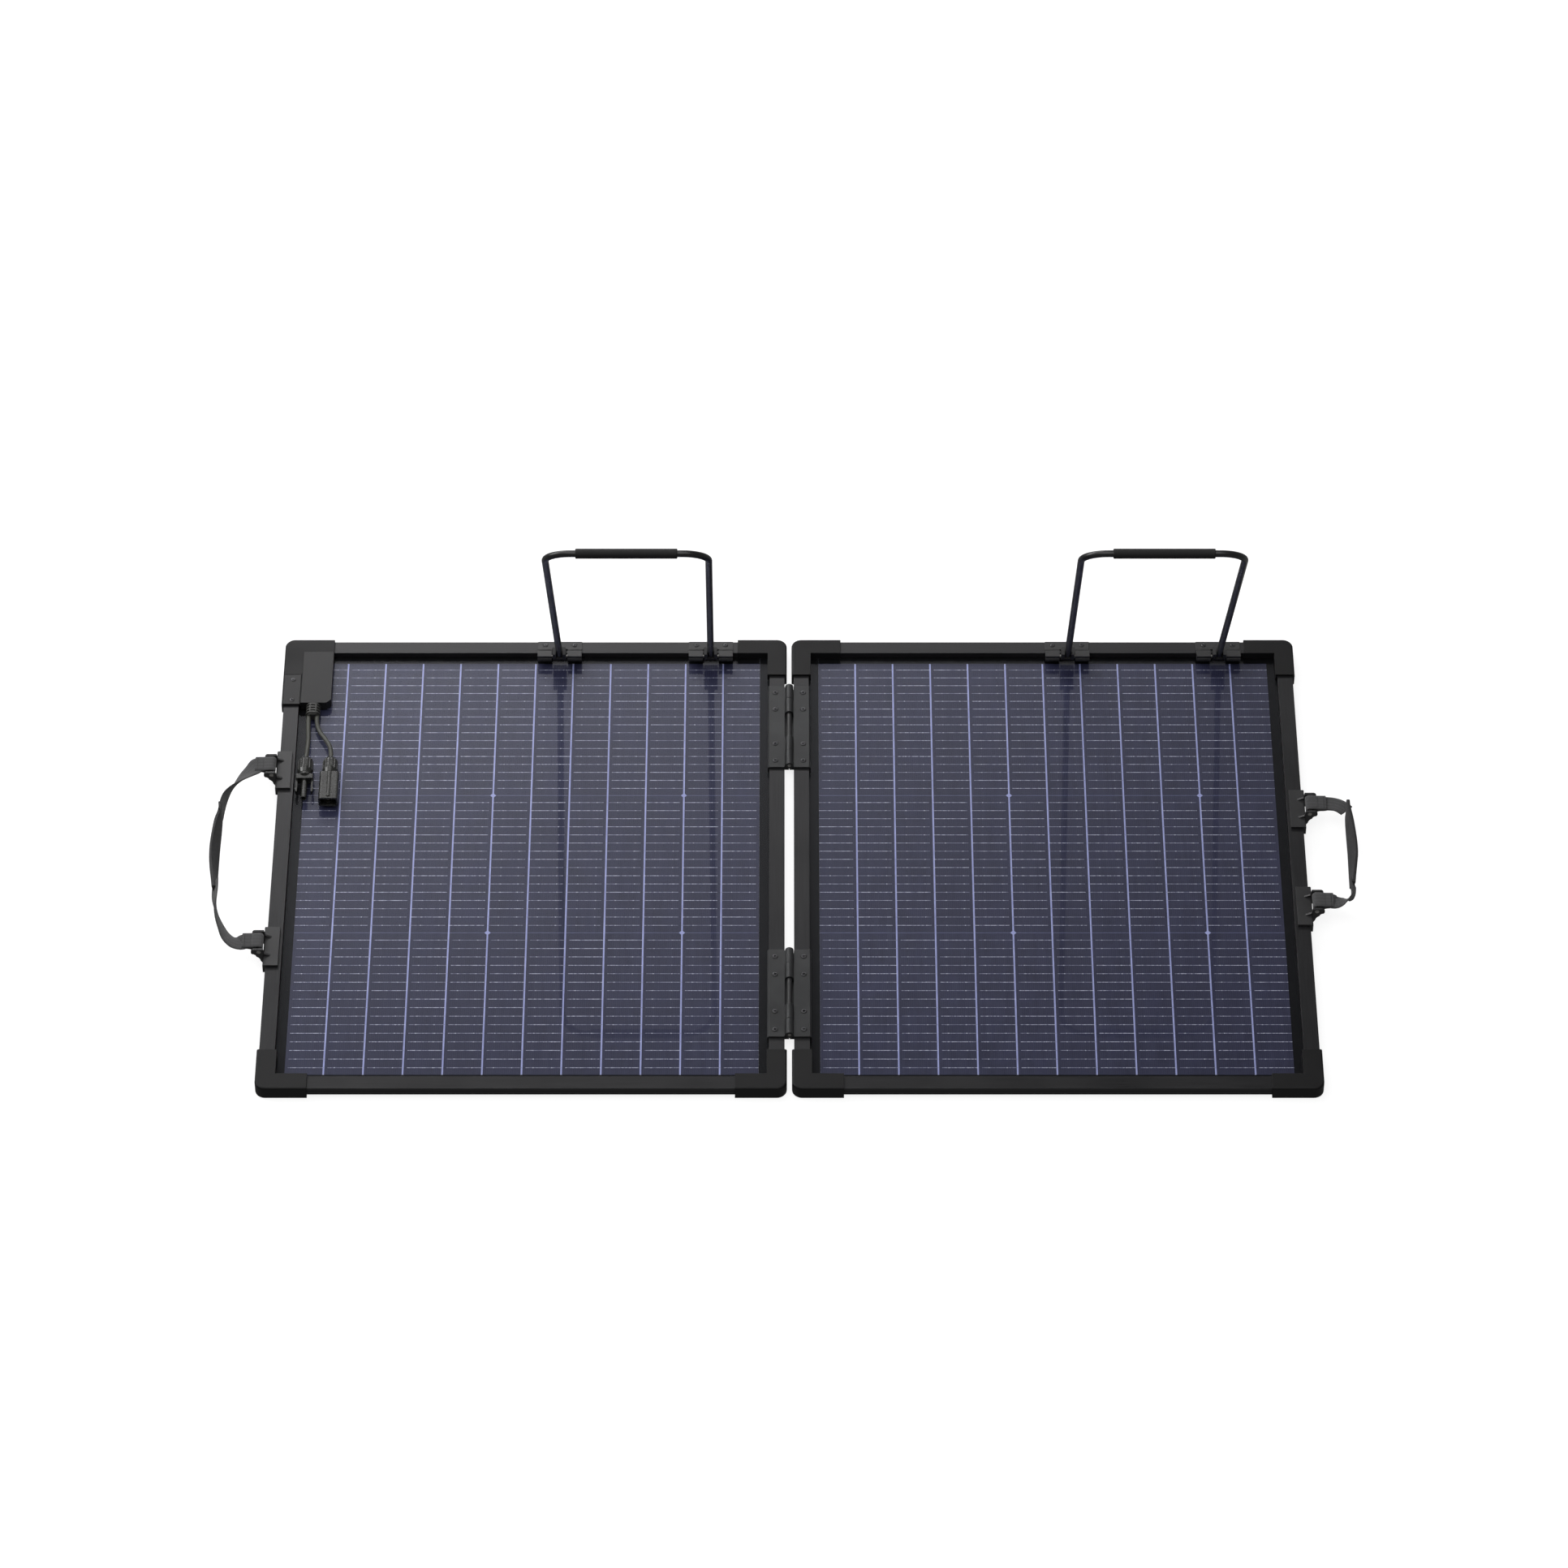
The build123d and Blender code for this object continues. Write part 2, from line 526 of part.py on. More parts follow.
def lead_tube(name):
    """Tube of straight runs joined by tangent arcs, as large as the runs allow."""
    points = [Vector(*point) for point in lead_points(name)]
    radii = []
    for before, here, after in zip(points, points[1:], points[2:]):
        turn = math.radians((here - before).get_angle(after - here))
        shorter = min((here - before).length, (after - here).length)
        radii.append(0.45 * shorter / math.tan(turn / 2))
    path = FilletPolyline(*points, radius=radii)
    tube = sweep(Plane(origin=path @ 0, z_dir=path % 0) * Circle(LEAD_R), path=path)
    full = math.pi * LEAD_R ** 2 * path.length
    print(name, "length", round(path.length, 1), "radii", [round(radius, 1) for radius in radii],
          "volume ratio", round(tube.volume / full, 4))
    return tube


def connector_nut(x, y):
    """Domed and ribbed gland nut, its axis along -Y."""
    dome = Line((2.3, 0), (4.4, 0)) + ThreePointArc((4.4, 0), (6.6, 2.4), (NUT_R, 6.2))
    rest = Polyline((NUT_R, 6.2), (NUT_R, 16.2), (6.6, NUT_L), (2.3, NUT_L), (2.3, 0))
    half = make_face(Plane.XZ * (dome + rest))
    nut = revolve(half, Axis.Z)
    grooves = [Rot(0, 0, step * 30) * Pos(NUT_R + 0.5, 0, 9.5) * Cylinder(1.25, 16.0) for step in range(12)]
    nut -= grooves
    return Plane(origin=(x, y, CONNECTOR_Z), x_dir=(1, 0, 0), z_dir=(0, -1, 0)) * nut


def build_connectors():
    turn = {"x_dir": (1, 0, 0), "z_dir": (0, -1, 0)}
    end_y = PANEL_D / 2 - NUT_Y - NUT_L

    x = outer_face(-1) + PIN_SIDE_X
    frame = Plane(origin=(x, end_y, CONNECTOR_Z), **turn)
    export("connector_nut_pin_side", connector_nut(x, PANEL_D / 2 - NUT_Y))
    collar = rod((0, 0, 0), (0, 0, 1), 6.4, 3.0)
    yoke = Pos(0, 0, 5.0) * Box(17.6, 9.0, 6.0)
    yoke = fillet(yoke.edges().filter_by(Axis.Z), 1.2)
    barrel = rod((0, 0, 0), (0, 0, 1), 3.1, 32.0)
    barrel = chamfer(barrel.edges().filter_by(GeomType.CIRCLE).sort_by(Axis.Z)[-1], 0.5)
    body = collar + yoke + barrel
    for sign in (-1, 1):
        body += Pos(sign * 7.7, 0, 16.0) * Box(1.7, 4.6, 16.0)
        hook = make_face(Polyline((sign * 6.85, 24.0), (sign * 9.4, 21.0), (sign * 9.4, 19.6),
                                  (sign * 8.4, 18.6), (sign * 6.85, 18.6), close=True))
        body += extrude(Plane.XZ * hook, 2.3, both=True)
    body -= rod((0, 0, 14.0), (0, 0, 1), 2.0, 20.0)
    export("connector_body_pin_side", frame * body)
    export("connector_contact_pin", frame * rod((0, 0, 14.0), (0, 0, 1), 1.25, 13.0))

    x = outer_face(-1) + SOCKET_SIDE_X
    frame = Plane(origin=(x, end_y, CONNECTOR_Z), **turn)
    export("connector_nut_socket_side", connector_nut(x, PANEL_D / 2 - NUT_Y))
    shell = Pos(0, 0, 18.4) * Box(19.4, 12.0, 36.8)
    shell = fillet(shell.edges().filter_by(Axis.Z), 2.6)
    shell += Pos(0, 0, 5.0) * Cylinder(6.4, 10.0)
    shell += rod((0, 3.9, 1.0), (0, 0, 1), 3.0, 33.0)
    shell += rod((0, -3.9, 1.0), (0, 0, 1), 3.0, 33.0)
    mouth = Pos(0, 0, 30.0) * Box(15.8, 8.4, 20.0)
    shell -= fillet(mouth.edges().filter_by(Axis.Z), 1.2)
    shell -= Pos(0, 0, 22.6) * Box(30.0, 4.4, 4.6)
    tube = rod((0, 0, 20.0), (0, 0, 1), 3.6, 14.0) - rod((0, 0, 22.0), (0, 0, 1), 3.3, 14.0)
    export("connector_body_socket_side", frame * (shell + tube))
    contact = rod((0, 0, 22.0), (0, 0, 1), 2.2, 10.0) - rod((0, 0, 23.0), (0, 0, 1), 1.5, 12.0)
    export("connector_contact_socket", frame * contact)


# ---- everything ---------------------------------------------------------------
os.makedirs("parts", exist_ok=True)
for panel_side, panel_name in ((-1, "left"), (1, "right")):
    build_rails(panel_side, panel_name)
    build_laminate(panel_side, panel_name)
build_caps()
build_hinges()
build_legs()
build_handles()
build_junction_box()
for lead in LEAD_ROUTES:
    export(lead, lead_tube(lead))
build_connectors()
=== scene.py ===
import bpy
import bmesh
import math
import random
from mathutils import Matrix, Vector


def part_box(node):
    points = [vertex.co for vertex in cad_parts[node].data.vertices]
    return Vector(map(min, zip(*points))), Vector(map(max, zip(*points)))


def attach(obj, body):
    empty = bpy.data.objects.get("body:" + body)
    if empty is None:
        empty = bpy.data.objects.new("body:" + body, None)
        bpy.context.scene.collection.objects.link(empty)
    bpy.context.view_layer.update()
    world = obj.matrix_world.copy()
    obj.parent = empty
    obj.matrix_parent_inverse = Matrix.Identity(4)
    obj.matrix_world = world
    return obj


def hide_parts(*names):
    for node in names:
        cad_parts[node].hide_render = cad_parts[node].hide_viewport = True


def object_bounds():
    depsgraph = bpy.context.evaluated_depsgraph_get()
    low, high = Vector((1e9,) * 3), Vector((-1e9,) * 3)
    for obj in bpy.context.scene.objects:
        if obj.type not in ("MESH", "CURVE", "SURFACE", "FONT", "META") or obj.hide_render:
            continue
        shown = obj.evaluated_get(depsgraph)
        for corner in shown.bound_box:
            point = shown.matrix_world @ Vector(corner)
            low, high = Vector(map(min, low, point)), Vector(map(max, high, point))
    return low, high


# Solar suitcase kit lying open with its back side up.  Metres, in the frame of the
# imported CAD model: +X right, +Y towards the kickstands, +Z up.

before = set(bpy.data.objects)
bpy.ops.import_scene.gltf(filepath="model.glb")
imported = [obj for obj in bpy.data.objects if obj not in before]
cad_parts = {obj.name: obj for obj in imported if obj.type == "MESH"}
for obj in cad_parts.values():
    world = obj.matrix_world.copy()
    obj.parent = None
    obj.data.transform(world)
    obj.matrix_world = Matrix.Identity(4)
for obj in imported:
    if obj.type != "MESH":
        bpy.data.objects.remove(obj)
cad_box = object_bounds()
MM = 0.001
SIDES = ((-1, "left"), (1, "right"))
random.seed(11)


# ---- places read from the frame ------------------------------------------------
def solids(node):
    """(lowest corner, highest corner) of each separate solid of a CAD node."""
    bm = bmesh.new()
    bm.from_mesh(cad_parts[node].data)
    bmesh.ops.remove_doubles(bm, verts=bm.verts, dist=1e-6)
    left = set(bm.verts)
    boxes = []
    while left:
        heap = [left.pop()]
        island = []
        while heap:
            vert = heap.pop()
            island.append(vert.co.copy())
            for edge in vert.link_edges:
                other = edge.other_vert(vert)
                if other in left:
                    left.remove(other)
                    heap.append(other)
        low = Vector([min(co[axis] for co in island) for axis in range(3)])
        high = Vector([max(co[axis] for co in island) for axis in range(3)])
        boxes.append((low, high))
    bm.free()
    return sorted(boxes, key=lambda box: (round(box[0].x, 4), round(box[0].y, 4)))


OUTER = {-1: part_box("left_rail_outer")[0].x, 1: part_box("right_rail_outer")[1].x}
BACK_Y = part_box("left_rail_back")[1].y
RAIL_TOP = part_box("left_rail_outer")[1].z
GLASS_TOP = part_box("left_back_glass")[1].z
FOLD_X = (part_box("hinge_pins")[0].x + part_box("hinge_pins")[1].x) / 2


# ---- camera ----------------------------------------------------------------------
CAMERA_ELEVATION = math.radians(46.84)
CAMERA_DISTANCE = 6.548
CAMERA_RISE = 0.0734
CAMERA_SHIFT = 0.0003
CAMERA_LENS = 152.5
SENSOR_W = 36


def build_camera():
    forward = Vector((0, math.cos(CAMERA_ELEVATION), -math.sin(CAMERA_ELEVATION)))
    up = Vector((0, math.sin(CAMERA_ELEVATION), math.cos(CAMERA_ELEVATION)))
    middle = (cad_box[0].x + cad_box[1].x) / 2
    target = Vector((middle + CAMERA_SHIFT, 0, RAIL_TOP)) + up * CAMERA_RISE
    data = bpy.data.cameras.new("photo_camera")
    data.lens = CAMERA_LENS
    data.sensor_width = SENSOR_W
    data.clip_start = 0.1
    data.clip_end = 60
    camera = bpy.data.objects.new("photo_camera", data)
    bpy.context.scene.collection.objects.link(camera)
    camera.location = target - forward * CAMERA_DISTANCE
    camera.rotation_mode = "QUATERNION"
    camera.rotation_quaternion = forward.to_track_quat("-Z", "Y")
    bpy.context.scene.camera = camera


# ---- shader helper -----------------------------------------------------------------
def tone(red, green=None, blue=None):
    """Linear colour of a display colour given from 0 to 255."""
    values = (red, red if green is None else green, red if blue is None else blue)
    linear = [((v / 255 + 0.055) / 1.055) ** 2.4 if v > 10 else v / 255 / 12.92 for v in values]
    return (*linear, 1.0)


class Shader:
    """One material's node tree, with short calls for the nodes used here."""

    def __init__(self, name):
        self.material = bpy.data.materials.new(name)
        self.material.use_nodes = True
        self.tree = self.material.node_tree
        self.tree.nodes.clear()
        self.end = self.node("ShaderNodeOutputMaterial")
        self.object_point = self.node("ShaderNodeTexCoord").outputs["Object"]

    def node(self, kind, settings=None, **inputs):
        made = self.tree.nodes.new(kind)
        for key, value in (settings or {}).items():
            setattr(made, key, value)
        for key, value in inputs.items():
            self.put(made.inputs[key.replace("_", " ")], value)
        return made

    def put(self, socket, value):
        if isinstance(value, bpy.types.NodeSocket):
            self.tree.links.new(value, socket)
        else:
            socket.default_value = value

    def noise(self, scale, detail=3.0, stretch=(1, 1, 1), point=None, rough=0.5):
        """Noise whose size is in features per metre, drawn out along an axis by a small stretch value."""
        moved = self.node("ShaderNodeMapping", Vector=point or self.object_point, Scale=stretch)
        made = self.node("ShaderNodeTexNoise", Vector=moved.outputs[0], Scale=scale, Detail=detail,
                         Roughness=rough)
        return made.outputs["Fac"]

    def ramp(self, value, low, high, out_low=0.0, out_high=1.0):
        made = self.node("ShaderNodeMapRange", Value=value, From_Min=low, From_Max=high,
                         To_Min=out_low, To_Max=out_high)
        return made.outputs[0]

    def math(self, operation, first, second=0.0):
        made = self.node("ShaderNodeMath", {"operation": operation})
        self.put(made.inputs[0], first)
        self.put(made.inputs[1], second)
        return made.outputs[0]

    def mix(self, factor, first, second):
        made = self.node("ShaderNodeMix", {"data_type": "RGBA"})
        self.put(made.inputs[0], factor)
        self.put(made.inputs[6], first)
        self.put(made.inputs[7], second)
        return made.outputs[2]

    def axis(self, name, point=None):
        made = self.node("ShaderNodeSeparateXYZ", Vector=point or self.object_point)
        return made.outputs[name]

    def lines(self, value, pitch, share):
        """1 on thin lines repeated along a coordinate, 0 between them."""
        turn = self.math("MULTIPLY", value, 1 / pitch)
        part = self.math("FRACT", turn)
        return self.math("LESS_THAN", part, share)

    def edges(self, radius):
        """(rounded normal, mask that is 1 along the part's edges)."""
        bevel = self.node("ShaderNodeBevel", {"samples": 6}, Radius=radius).outputs[0]
        flat = self.node("ShaderNodeNewGeometry").outputs["Normal"]
        dot = self.node("ShaderNodeVectorMath", {"operation": "DOT_PRODUCT"})
        self.put(dot.inputs[0], bevel)
        self.put(dot.inputs[1], flat)
        return bevel, self.ramp(dot.outputs["Value"], 0.99, 0.8)

    def bump(self, height, strength, distance, normal=None):
        made = self.node("ShaderNodeBump", Height=height, Strength=strength, Distance=distance)
        if normal is not None:
            self.put(made.inputs["Normal"], normal)
        return made.outputs[0]

    def principled(self, **inputs):
        made = self.node("ShaderNodeBsdfPrincipled", **inputs)
        self.put(self.end.inputs["Surface"], made.outputs[0])
        return self.material


# ---- cell field ----------------------------------------------------------------------
STRIPS = 12
ROWS = 3
CELL_W = 36.4 * MM
CELL_L = 182 * MM
CELL_GAP = 1.6 * MM
FIELD_X = (STRIPS * CELL_W + (STRIPS - 1) * CELL_GAP) / 2
FIELD_Y = (ROWS * CELL_L + (ROWS - 1) * CELL_GAP) / 2


# ---- materials ---------------------------------------------------------------------
GLASS_GLOSS = 0.06               # mirror share seen straight on
BORDER_GLOSS = 0.6               # of that share, over the printed border
WEAVE_PICK = 1.5 * MM
WEAVE_CORD = 1.2 * MM
WEAVE_SLANT = 0.8
GRIP_PICK = 1.3 * MM
GRIP_CORD = 1.1 * MM
FINGER_PITCH = 1.35 * MM


def moulded(name, dark, light, rough, grain=1500.0, grain_depth=0.00004, edge=0.0005, edge_lift=0.35,
            metallic=0.0, coat=0.0, specular=0.5):
    """Plastic or coated metal: patchy tone, fine surface grain, lighter edges that are partly wear and
    partly painted highlight.
    """
    s = Shader(name)
    normal, edge_wear_and_highlight = s.edges(edge)
    patch = s.ramp(s.noise(28, 4), 0.32, 0.68)
    speck = s.ramp(s.noise(900, 2), 0.3, 0.7)
    body = s.mix(patch, dark, light)
    # Painted highlight and wear: along the edges the colour is lifted towards a lighter tone, partly for
    # worn spots and partly for light caught by the edges.
    lifted = [min(1.0, c * 2.4 + 0.012) for c in light[:3]] + [1.0]
    scuffs_and_edge_highlight = s.math("MULTIPLY", edge_wear_and_highlight, s.ramp(s.noise(160, 3), 0.3, 0.75, edge_lift * 0.4, edge_lift))
    colour = s.mix(scuffs_and_edge_highlight, body, lifted)
    fine = s.noise(grain, 3)
    shine = s.math("ADD", s.ramp(patch, 0, 1, rough - 0.05, rough + 0.05),
                   s.ramp(speck, 0, 1, -0.03, 0.03))
    return s.principled(Base_Color=colour, Roughness=shine, Metallic=metallic, Coat_Weight=coat,
                        Specular_IOR_Level=specular, Coat_Roughness=0.25,
                        Normal=s.bump(fine, 0.5, grain_depth, normal))


def anodised(name, along):
    """Black anodised aluminium with drawing lines along the rail."""
    stretch = (0.012, 1, 1) if along == "x" else (1, 0.012, 1)
    s = Shader(name)
    normal, edge_wear_and_highlight = s.edges(0.0004)
    streak = s.noise(1400, 2, stretch)
    patch = s.ramp(s.noise(14, 3), 0.3, 0.7)
    body = s.mix(s.ramp(streak, 0.3, 0.7), tone(25, 25, 27), tone(33, 33, 35))
    # Painted highlight and wear: the rail's edges are lightened, partly as worn spots and partly as light
    # caught by the edges.
    wear_and_edge_highlight = s.math("MULTIPLY", edge_wear_and_highlight, s.ramp(s.noise(120, 4), 0.35, 0.7, 0.15, 0.55))
    colour = s.mix(wear_and_edge_highlight, body, tone(96, 96, 98))
    shine = s.math("ADD", s.ramp(streak, 0.3, 0.7, 0.3, 0.39), s.ramp(patch, 0, 1, -0.03, 0.04))
    return s.principled(Base_Color=colour, Roughness=shine, Metallic=0.25,
                        Normal=s.bump(streak, 0.25, 0.00002, normal))


def steel(name, colour, rough):
    """Turned steel: fine rings of tone and a little tarnish."""
    s = Shader(name)
    normal, edge_wear_and_highlight = s.edges(0.0002)
    tarnish = s.ramp(s.noise(700, 4), 0.3, 0.75)
    dull = [c * 0.45 for c in colour[:3]] + [1.0]
    body = s.mix(tarnish, colour, dull)
    shine = s.ramp(s.noise(2600, 2), 0.3, 0.7, rough - 0.06, rough + 0.1)
    # Painted highlight and wear: the edges keep the bright untarnished colour, partly as rubbed metal and
    # partly as light caught by the edges.
    return s.principled(Base_Color=s.mix(edge_wear_and_highlight, body, colour), Roughness=shine, Metallic=1.0,
                        Normal=s.bump(s.noise(3500, 2), 0.3, 0.00002, normal))


def webbing():
    """Woven strap: slanted picks across, lengthwise warp cords, darker bound edges."""
    s = Shader("woven_webbing")
    point = s.node("ShaderNodeUVMap", {"uv_map": "weave"}).outputs[0]
    along = s.axis("X", point)
    across = s.axis("Y", point)
    slant = s.math("ADD", along, s.math("MULTIPLY", across, WEAVE_SLANT))
    counter = s.math("SUBTRACT", along, s.math("MULTIPLY", across, WEAVE_SLANT))
    one = s.math("SINE", s.math("MULTIPLY", slant, math.tau / WEAVE_PICK))
    two = s.math("SINE", s.math("MULTIPLY", counter, math.tau / WEAVE_PICK))
    cords = s.math("SINE", s.math("MULTIPLY", across, math.tau / WEAVE_CORD))
    height = s.math("ADD", s.math("MULTIPLY", one, two), s.math("MULTIPLY", cords, 0.5))
    weave = s.ramp(height, -1.5, 1.5)
    fuzz = s.noise(2200, 3)
    body = s.mix(weave, tone(26), tone(84, 84, 86))
    colour = s.mix(s.ramp(fuzz, 0.3, 0.75, 0.0, 0.35), body, tone(52))
    edge = s.ramp(s.math("ABSOLUTE", across), 0.0088, 0.0096)
    colour = s.mix(edge, colour, tone(18))
    fluffed = s.math("ADD", weave, s.math("MULTIPLY", fuzz, 0.3))
    return s.principled(Base_Color=colour, Roughness=s.ramp(weave, 0, 1, 0.85, 0.68), Sheen_Weight=0.25,
                        Sheen_Roughness=0.5, Normal=s.bump(fluffed, 0.8, 0.00035))


def grip_cloth():
    """Folded and pressed webbing of the grips: smoother, with the cords running lengthwise."""
    s = Shader("folded_grip_cloth")
    point = s.node("ShaderNodeUVMap", {"uv_map": "weave"}).outputs[0]
    across = s.axis("Y", point)
    along = s.axis("X", point)
    cords = s.math("SINE", s.math("MULTIPLY", across, math.tau / GRIP_CORD))
    picks = s.math("SINE", s.math("MULTIPLY", along, math.tau / GRIP_PICK))
    weave = s.ramp(s.math("ADD", cords, s.math("MULTIPLY", picks, 0.5)), -1.5, 1.5)
    rubbed = s.ramp(s.noise(300, 3), 0.3, 0.7, 0, 0.4)
    colour = s.mix(s.math("ADD", s.math("MULTIPLY", weave, 0.6), rubbed), tone(16), tone(42, 42, 44))
    return s.principled(Base_Color=colour, Roughness=0.72, Sheen_Weight=0.15,
                        Normal=s.bump(weave, 0.6, 0.0002))


def thread():
    s = Shader("sewing_thread")
    twist = s.noise(4200, 2)
    return s.principled(Base_Color=s.mix(s.ramp(twist, 0.3, 0.7), tone(22), tone(58)), Roughness=0.6,
                        Normal=s.bump(twist, 0.5, 0.0001))


def rubber(name, dark, light, rough, ribs=0.0):
    s = Shader(name)
    normal, edge_wear_and_highlight = s.edges(0.0006)
    dust = s.ramp(s.noise(60, 5), 0.4, 0.75, 0.0, 0.6)
    colour = s.mix(dust, dark, light)
    height = s.noise(1900, 3)
    if ribs:
        wave = s.math("SINE", s.math("MULTIPLY", s.axis("X"), math.tau / ribs))
        height = s.math("ADD", height, s.math("MULTIPLY", wave, 0.6))
    # Painted highlight and wear: the edges are lightened a little, partly as rubbed spots and partly as
    # light caught by the edges.
    return s.principled(Base_Color=s.mix(s.math("MULTIPLY", edge_wear_and_highlight, 0.3), colour, light),
                        Roughness=s.ramp(dust, 0, 1, rough, rough + 0.12),
                        Normal=s.bump(height, 0.6, 0.00008, normal))


def glass(name, node, outward):
    """Clear pane: what is behind it shows straight through; only its outer face is glossy."""
    s = Shader(name)
    low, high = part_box(node)
    smear = s.noise(7, 4)
    gloss = s.node("ShaderNodeBsdfGlossy", Color=(0.94, 0.95, 1.0, 1.0),
                   Roughness=s.ramp(smear, 0.35, 0.75, 0.01, 0.035)).outputs[0]
    clear = s.node("ShaderNodeBsdfTransparent", Color=(0.97, 0.98, 1.0, 1.0)).outputs[0]
    facing = s.node("ShaderNodeLayerWeight", Blend=0.5).outputs["Facing"]
    mirror = s.ramp(s.math("POWER", facing, 5.0), 0.0, 1.0, GLASS_GLOSS, 1.0)
    middle = (low.z + high.z) / 2
    outer = s.math("GREATER_THAN" if outward > 0 else "LESS_THAN", s.axis("Z"), middle)
    # The printed border is matt through the glass: the mirror is weaker outside the cells.
    margin = (high.x - low.x) / 2 - FIELD_X
    from_fold = s.math("ABSOLUTE", s.math("SUBTRACT", s.axis("X"), FOLD_X))
    near = min(abs(low.x - FOLD_X), abs(high.x - FOLD_X)) + margin
    in_x = s.math("MULTIPLY", s.math("GREATER_THAN", from_fold, near),
                  s.math("LESS_THAN", from_fold, near + 2 * FIELD_X))
    in_y = s.math("LESS_THAN", s.math("ABSOLUTE", s.axis("Y")), FIELD_Y)
    field = s.ramp(s.math("MULTIPLY", in_x, in_y), 0.0, 1.0, BORDER_GLOSS, 1.0)
    mirror = s.math("MULTIPLY", mirror, field)
    mixed = s.node("ShaderNodeMixShader")
    s.put(mixed.inputs[0], s.math("MULTIPLY", mirror, outer))
    s.put(mixed.inputs[1], clear)
    s.put(mixed.inputs[2], gloss)
    s.put(s.end.inputs["Surface"], mixed.outputs[0])
    return s.material


def cell_silicon():
    """Blue-grey silicon with fine printed fingers; the sun side is nearly black."""
    s = Shader("cell_silicon")
    own = s.node("ShaderNodeAttribute", {"attribute_name": "tone"}).outputs["Fac"]
    cloud = s.ramp(s.noise(38, 5, rough=0.65), 0.3, 0.7)
    streak = s.ramp(s.noise(240, 3, (1, 0.06, 1)), 0.3, 0.7)
    fingers = s.lines(s.axis("X"), FINGER_PITCH, 0.14)
    body = s.mix(cloud, tone(33, 34, 55), tone(46, 47, 73))
    body = s.mix(s.math("MULTIPLY", streak, 0.35), body, tone(62, 62, 84))
    body = s.mix(s.ramp(own, 0, 1, 0.0, 0.5), body, tone(40, 40, 62))
    body = s.mix(s.math("MULTIPLY", fingers, 0.22), body, tone(120, 120, 140))
    sun_side = s.mix(s.math("MULTIPLY", fingers, 0.3), s.mix(cloud, tone(10, 12, 24), tone(16, 18, 34)),
                     tone(90, 92, 104))
    up = s.ramp(s.axis("Z", s.node("ShaderNodeNewGeometry").outputs["Normal"]), -0.2, 0.2)
    return s.principled(Base_Color=s.mix(up, sun_side, body), Roughness=s.ramp(cloud, 0, 1, 0.42, 0.55),
                        Specular_IOR_Level=0.25, Normal=s.bump(streak, 0.15, 0.00002))


def cell_gap_light():
    """Painted light: a lavender sheet that stands for the light coming up between the cell strips."""
    s = Shader("cell_gap_encapsulant")
    cloud = s.ramp(s.noise(60, 4), 0.3, 0.7)
    return s.principled(Base_Color=s.mix(cloud, tone(156, 160, 206), tone(178, 182, 226)), Roughness=0.5,
                        Normal=s.bump(s.noise(500, 3), 0.3, 0.00003))


def border_print():
    s = Shader("border_print")
    cloud = s.ramp(s.noise(90, 4), 0.3, 0.7)
    return s.principled(Base_Color=s.mix(cloud, tone(7, 7, 8), tone(13, 13, 14)), Roughness=0.55,
                        Specular_IOR_Level=0.1, Normal=s.bump(s.noise(1200, 2), 0.2, 0.00002))


def wire_metal():
    """Tinned wire with small solder beads; each wire has its own brightness."""
    s = Shader("cell_wire_metal")
    own = s.node("ShaderNodeAttribute", {"attribute_name": "tone"}).outputs["Fac"]
    beads = s.ramp(s.noise(620, 1, (1, 0.05, 0.05)), 0.38, 0.62)
    bright = s.mix(beads, tone(132, 132, 156), tone(228, 228, 244))
    return s.principled(Base_Color=s.mix(own, tone(104, 104, 128), bright),
                        Roughness=s.ramp(beads, 0, 1, 0.6, 0.4), Metallic=0.15)


def solder():
    s = Shader("solder_pad")
    lump = s.noise(1500, 2)
    colour = s.mix(s.ramp(lump, 0.3, 0.7), tone(170, 170, 188), tone(236, 236, 246))
    return s.principled(Base_Color=colour, Roughness=0.4, Metallic=0.2, Normal=s.bump(lump, 0.5, 0.0001))


def cable_jacket():
    s = Shader("cable_jacket")
    fine = s.noise(1600, 3, (1, 0.2, 1))
    colour = s.mix(s.ramp(s.noise(70, 4), 0.3, 0.7), tone(50, 51, 46), tone(66, 67, 60))
    return s.principled(Base_Color=colour, Roughness=s.ramp(fine, 0.3, 0.7, 0.42, 0.56),
                        Normal=s.bump(fine, 0.4, 0.00005))


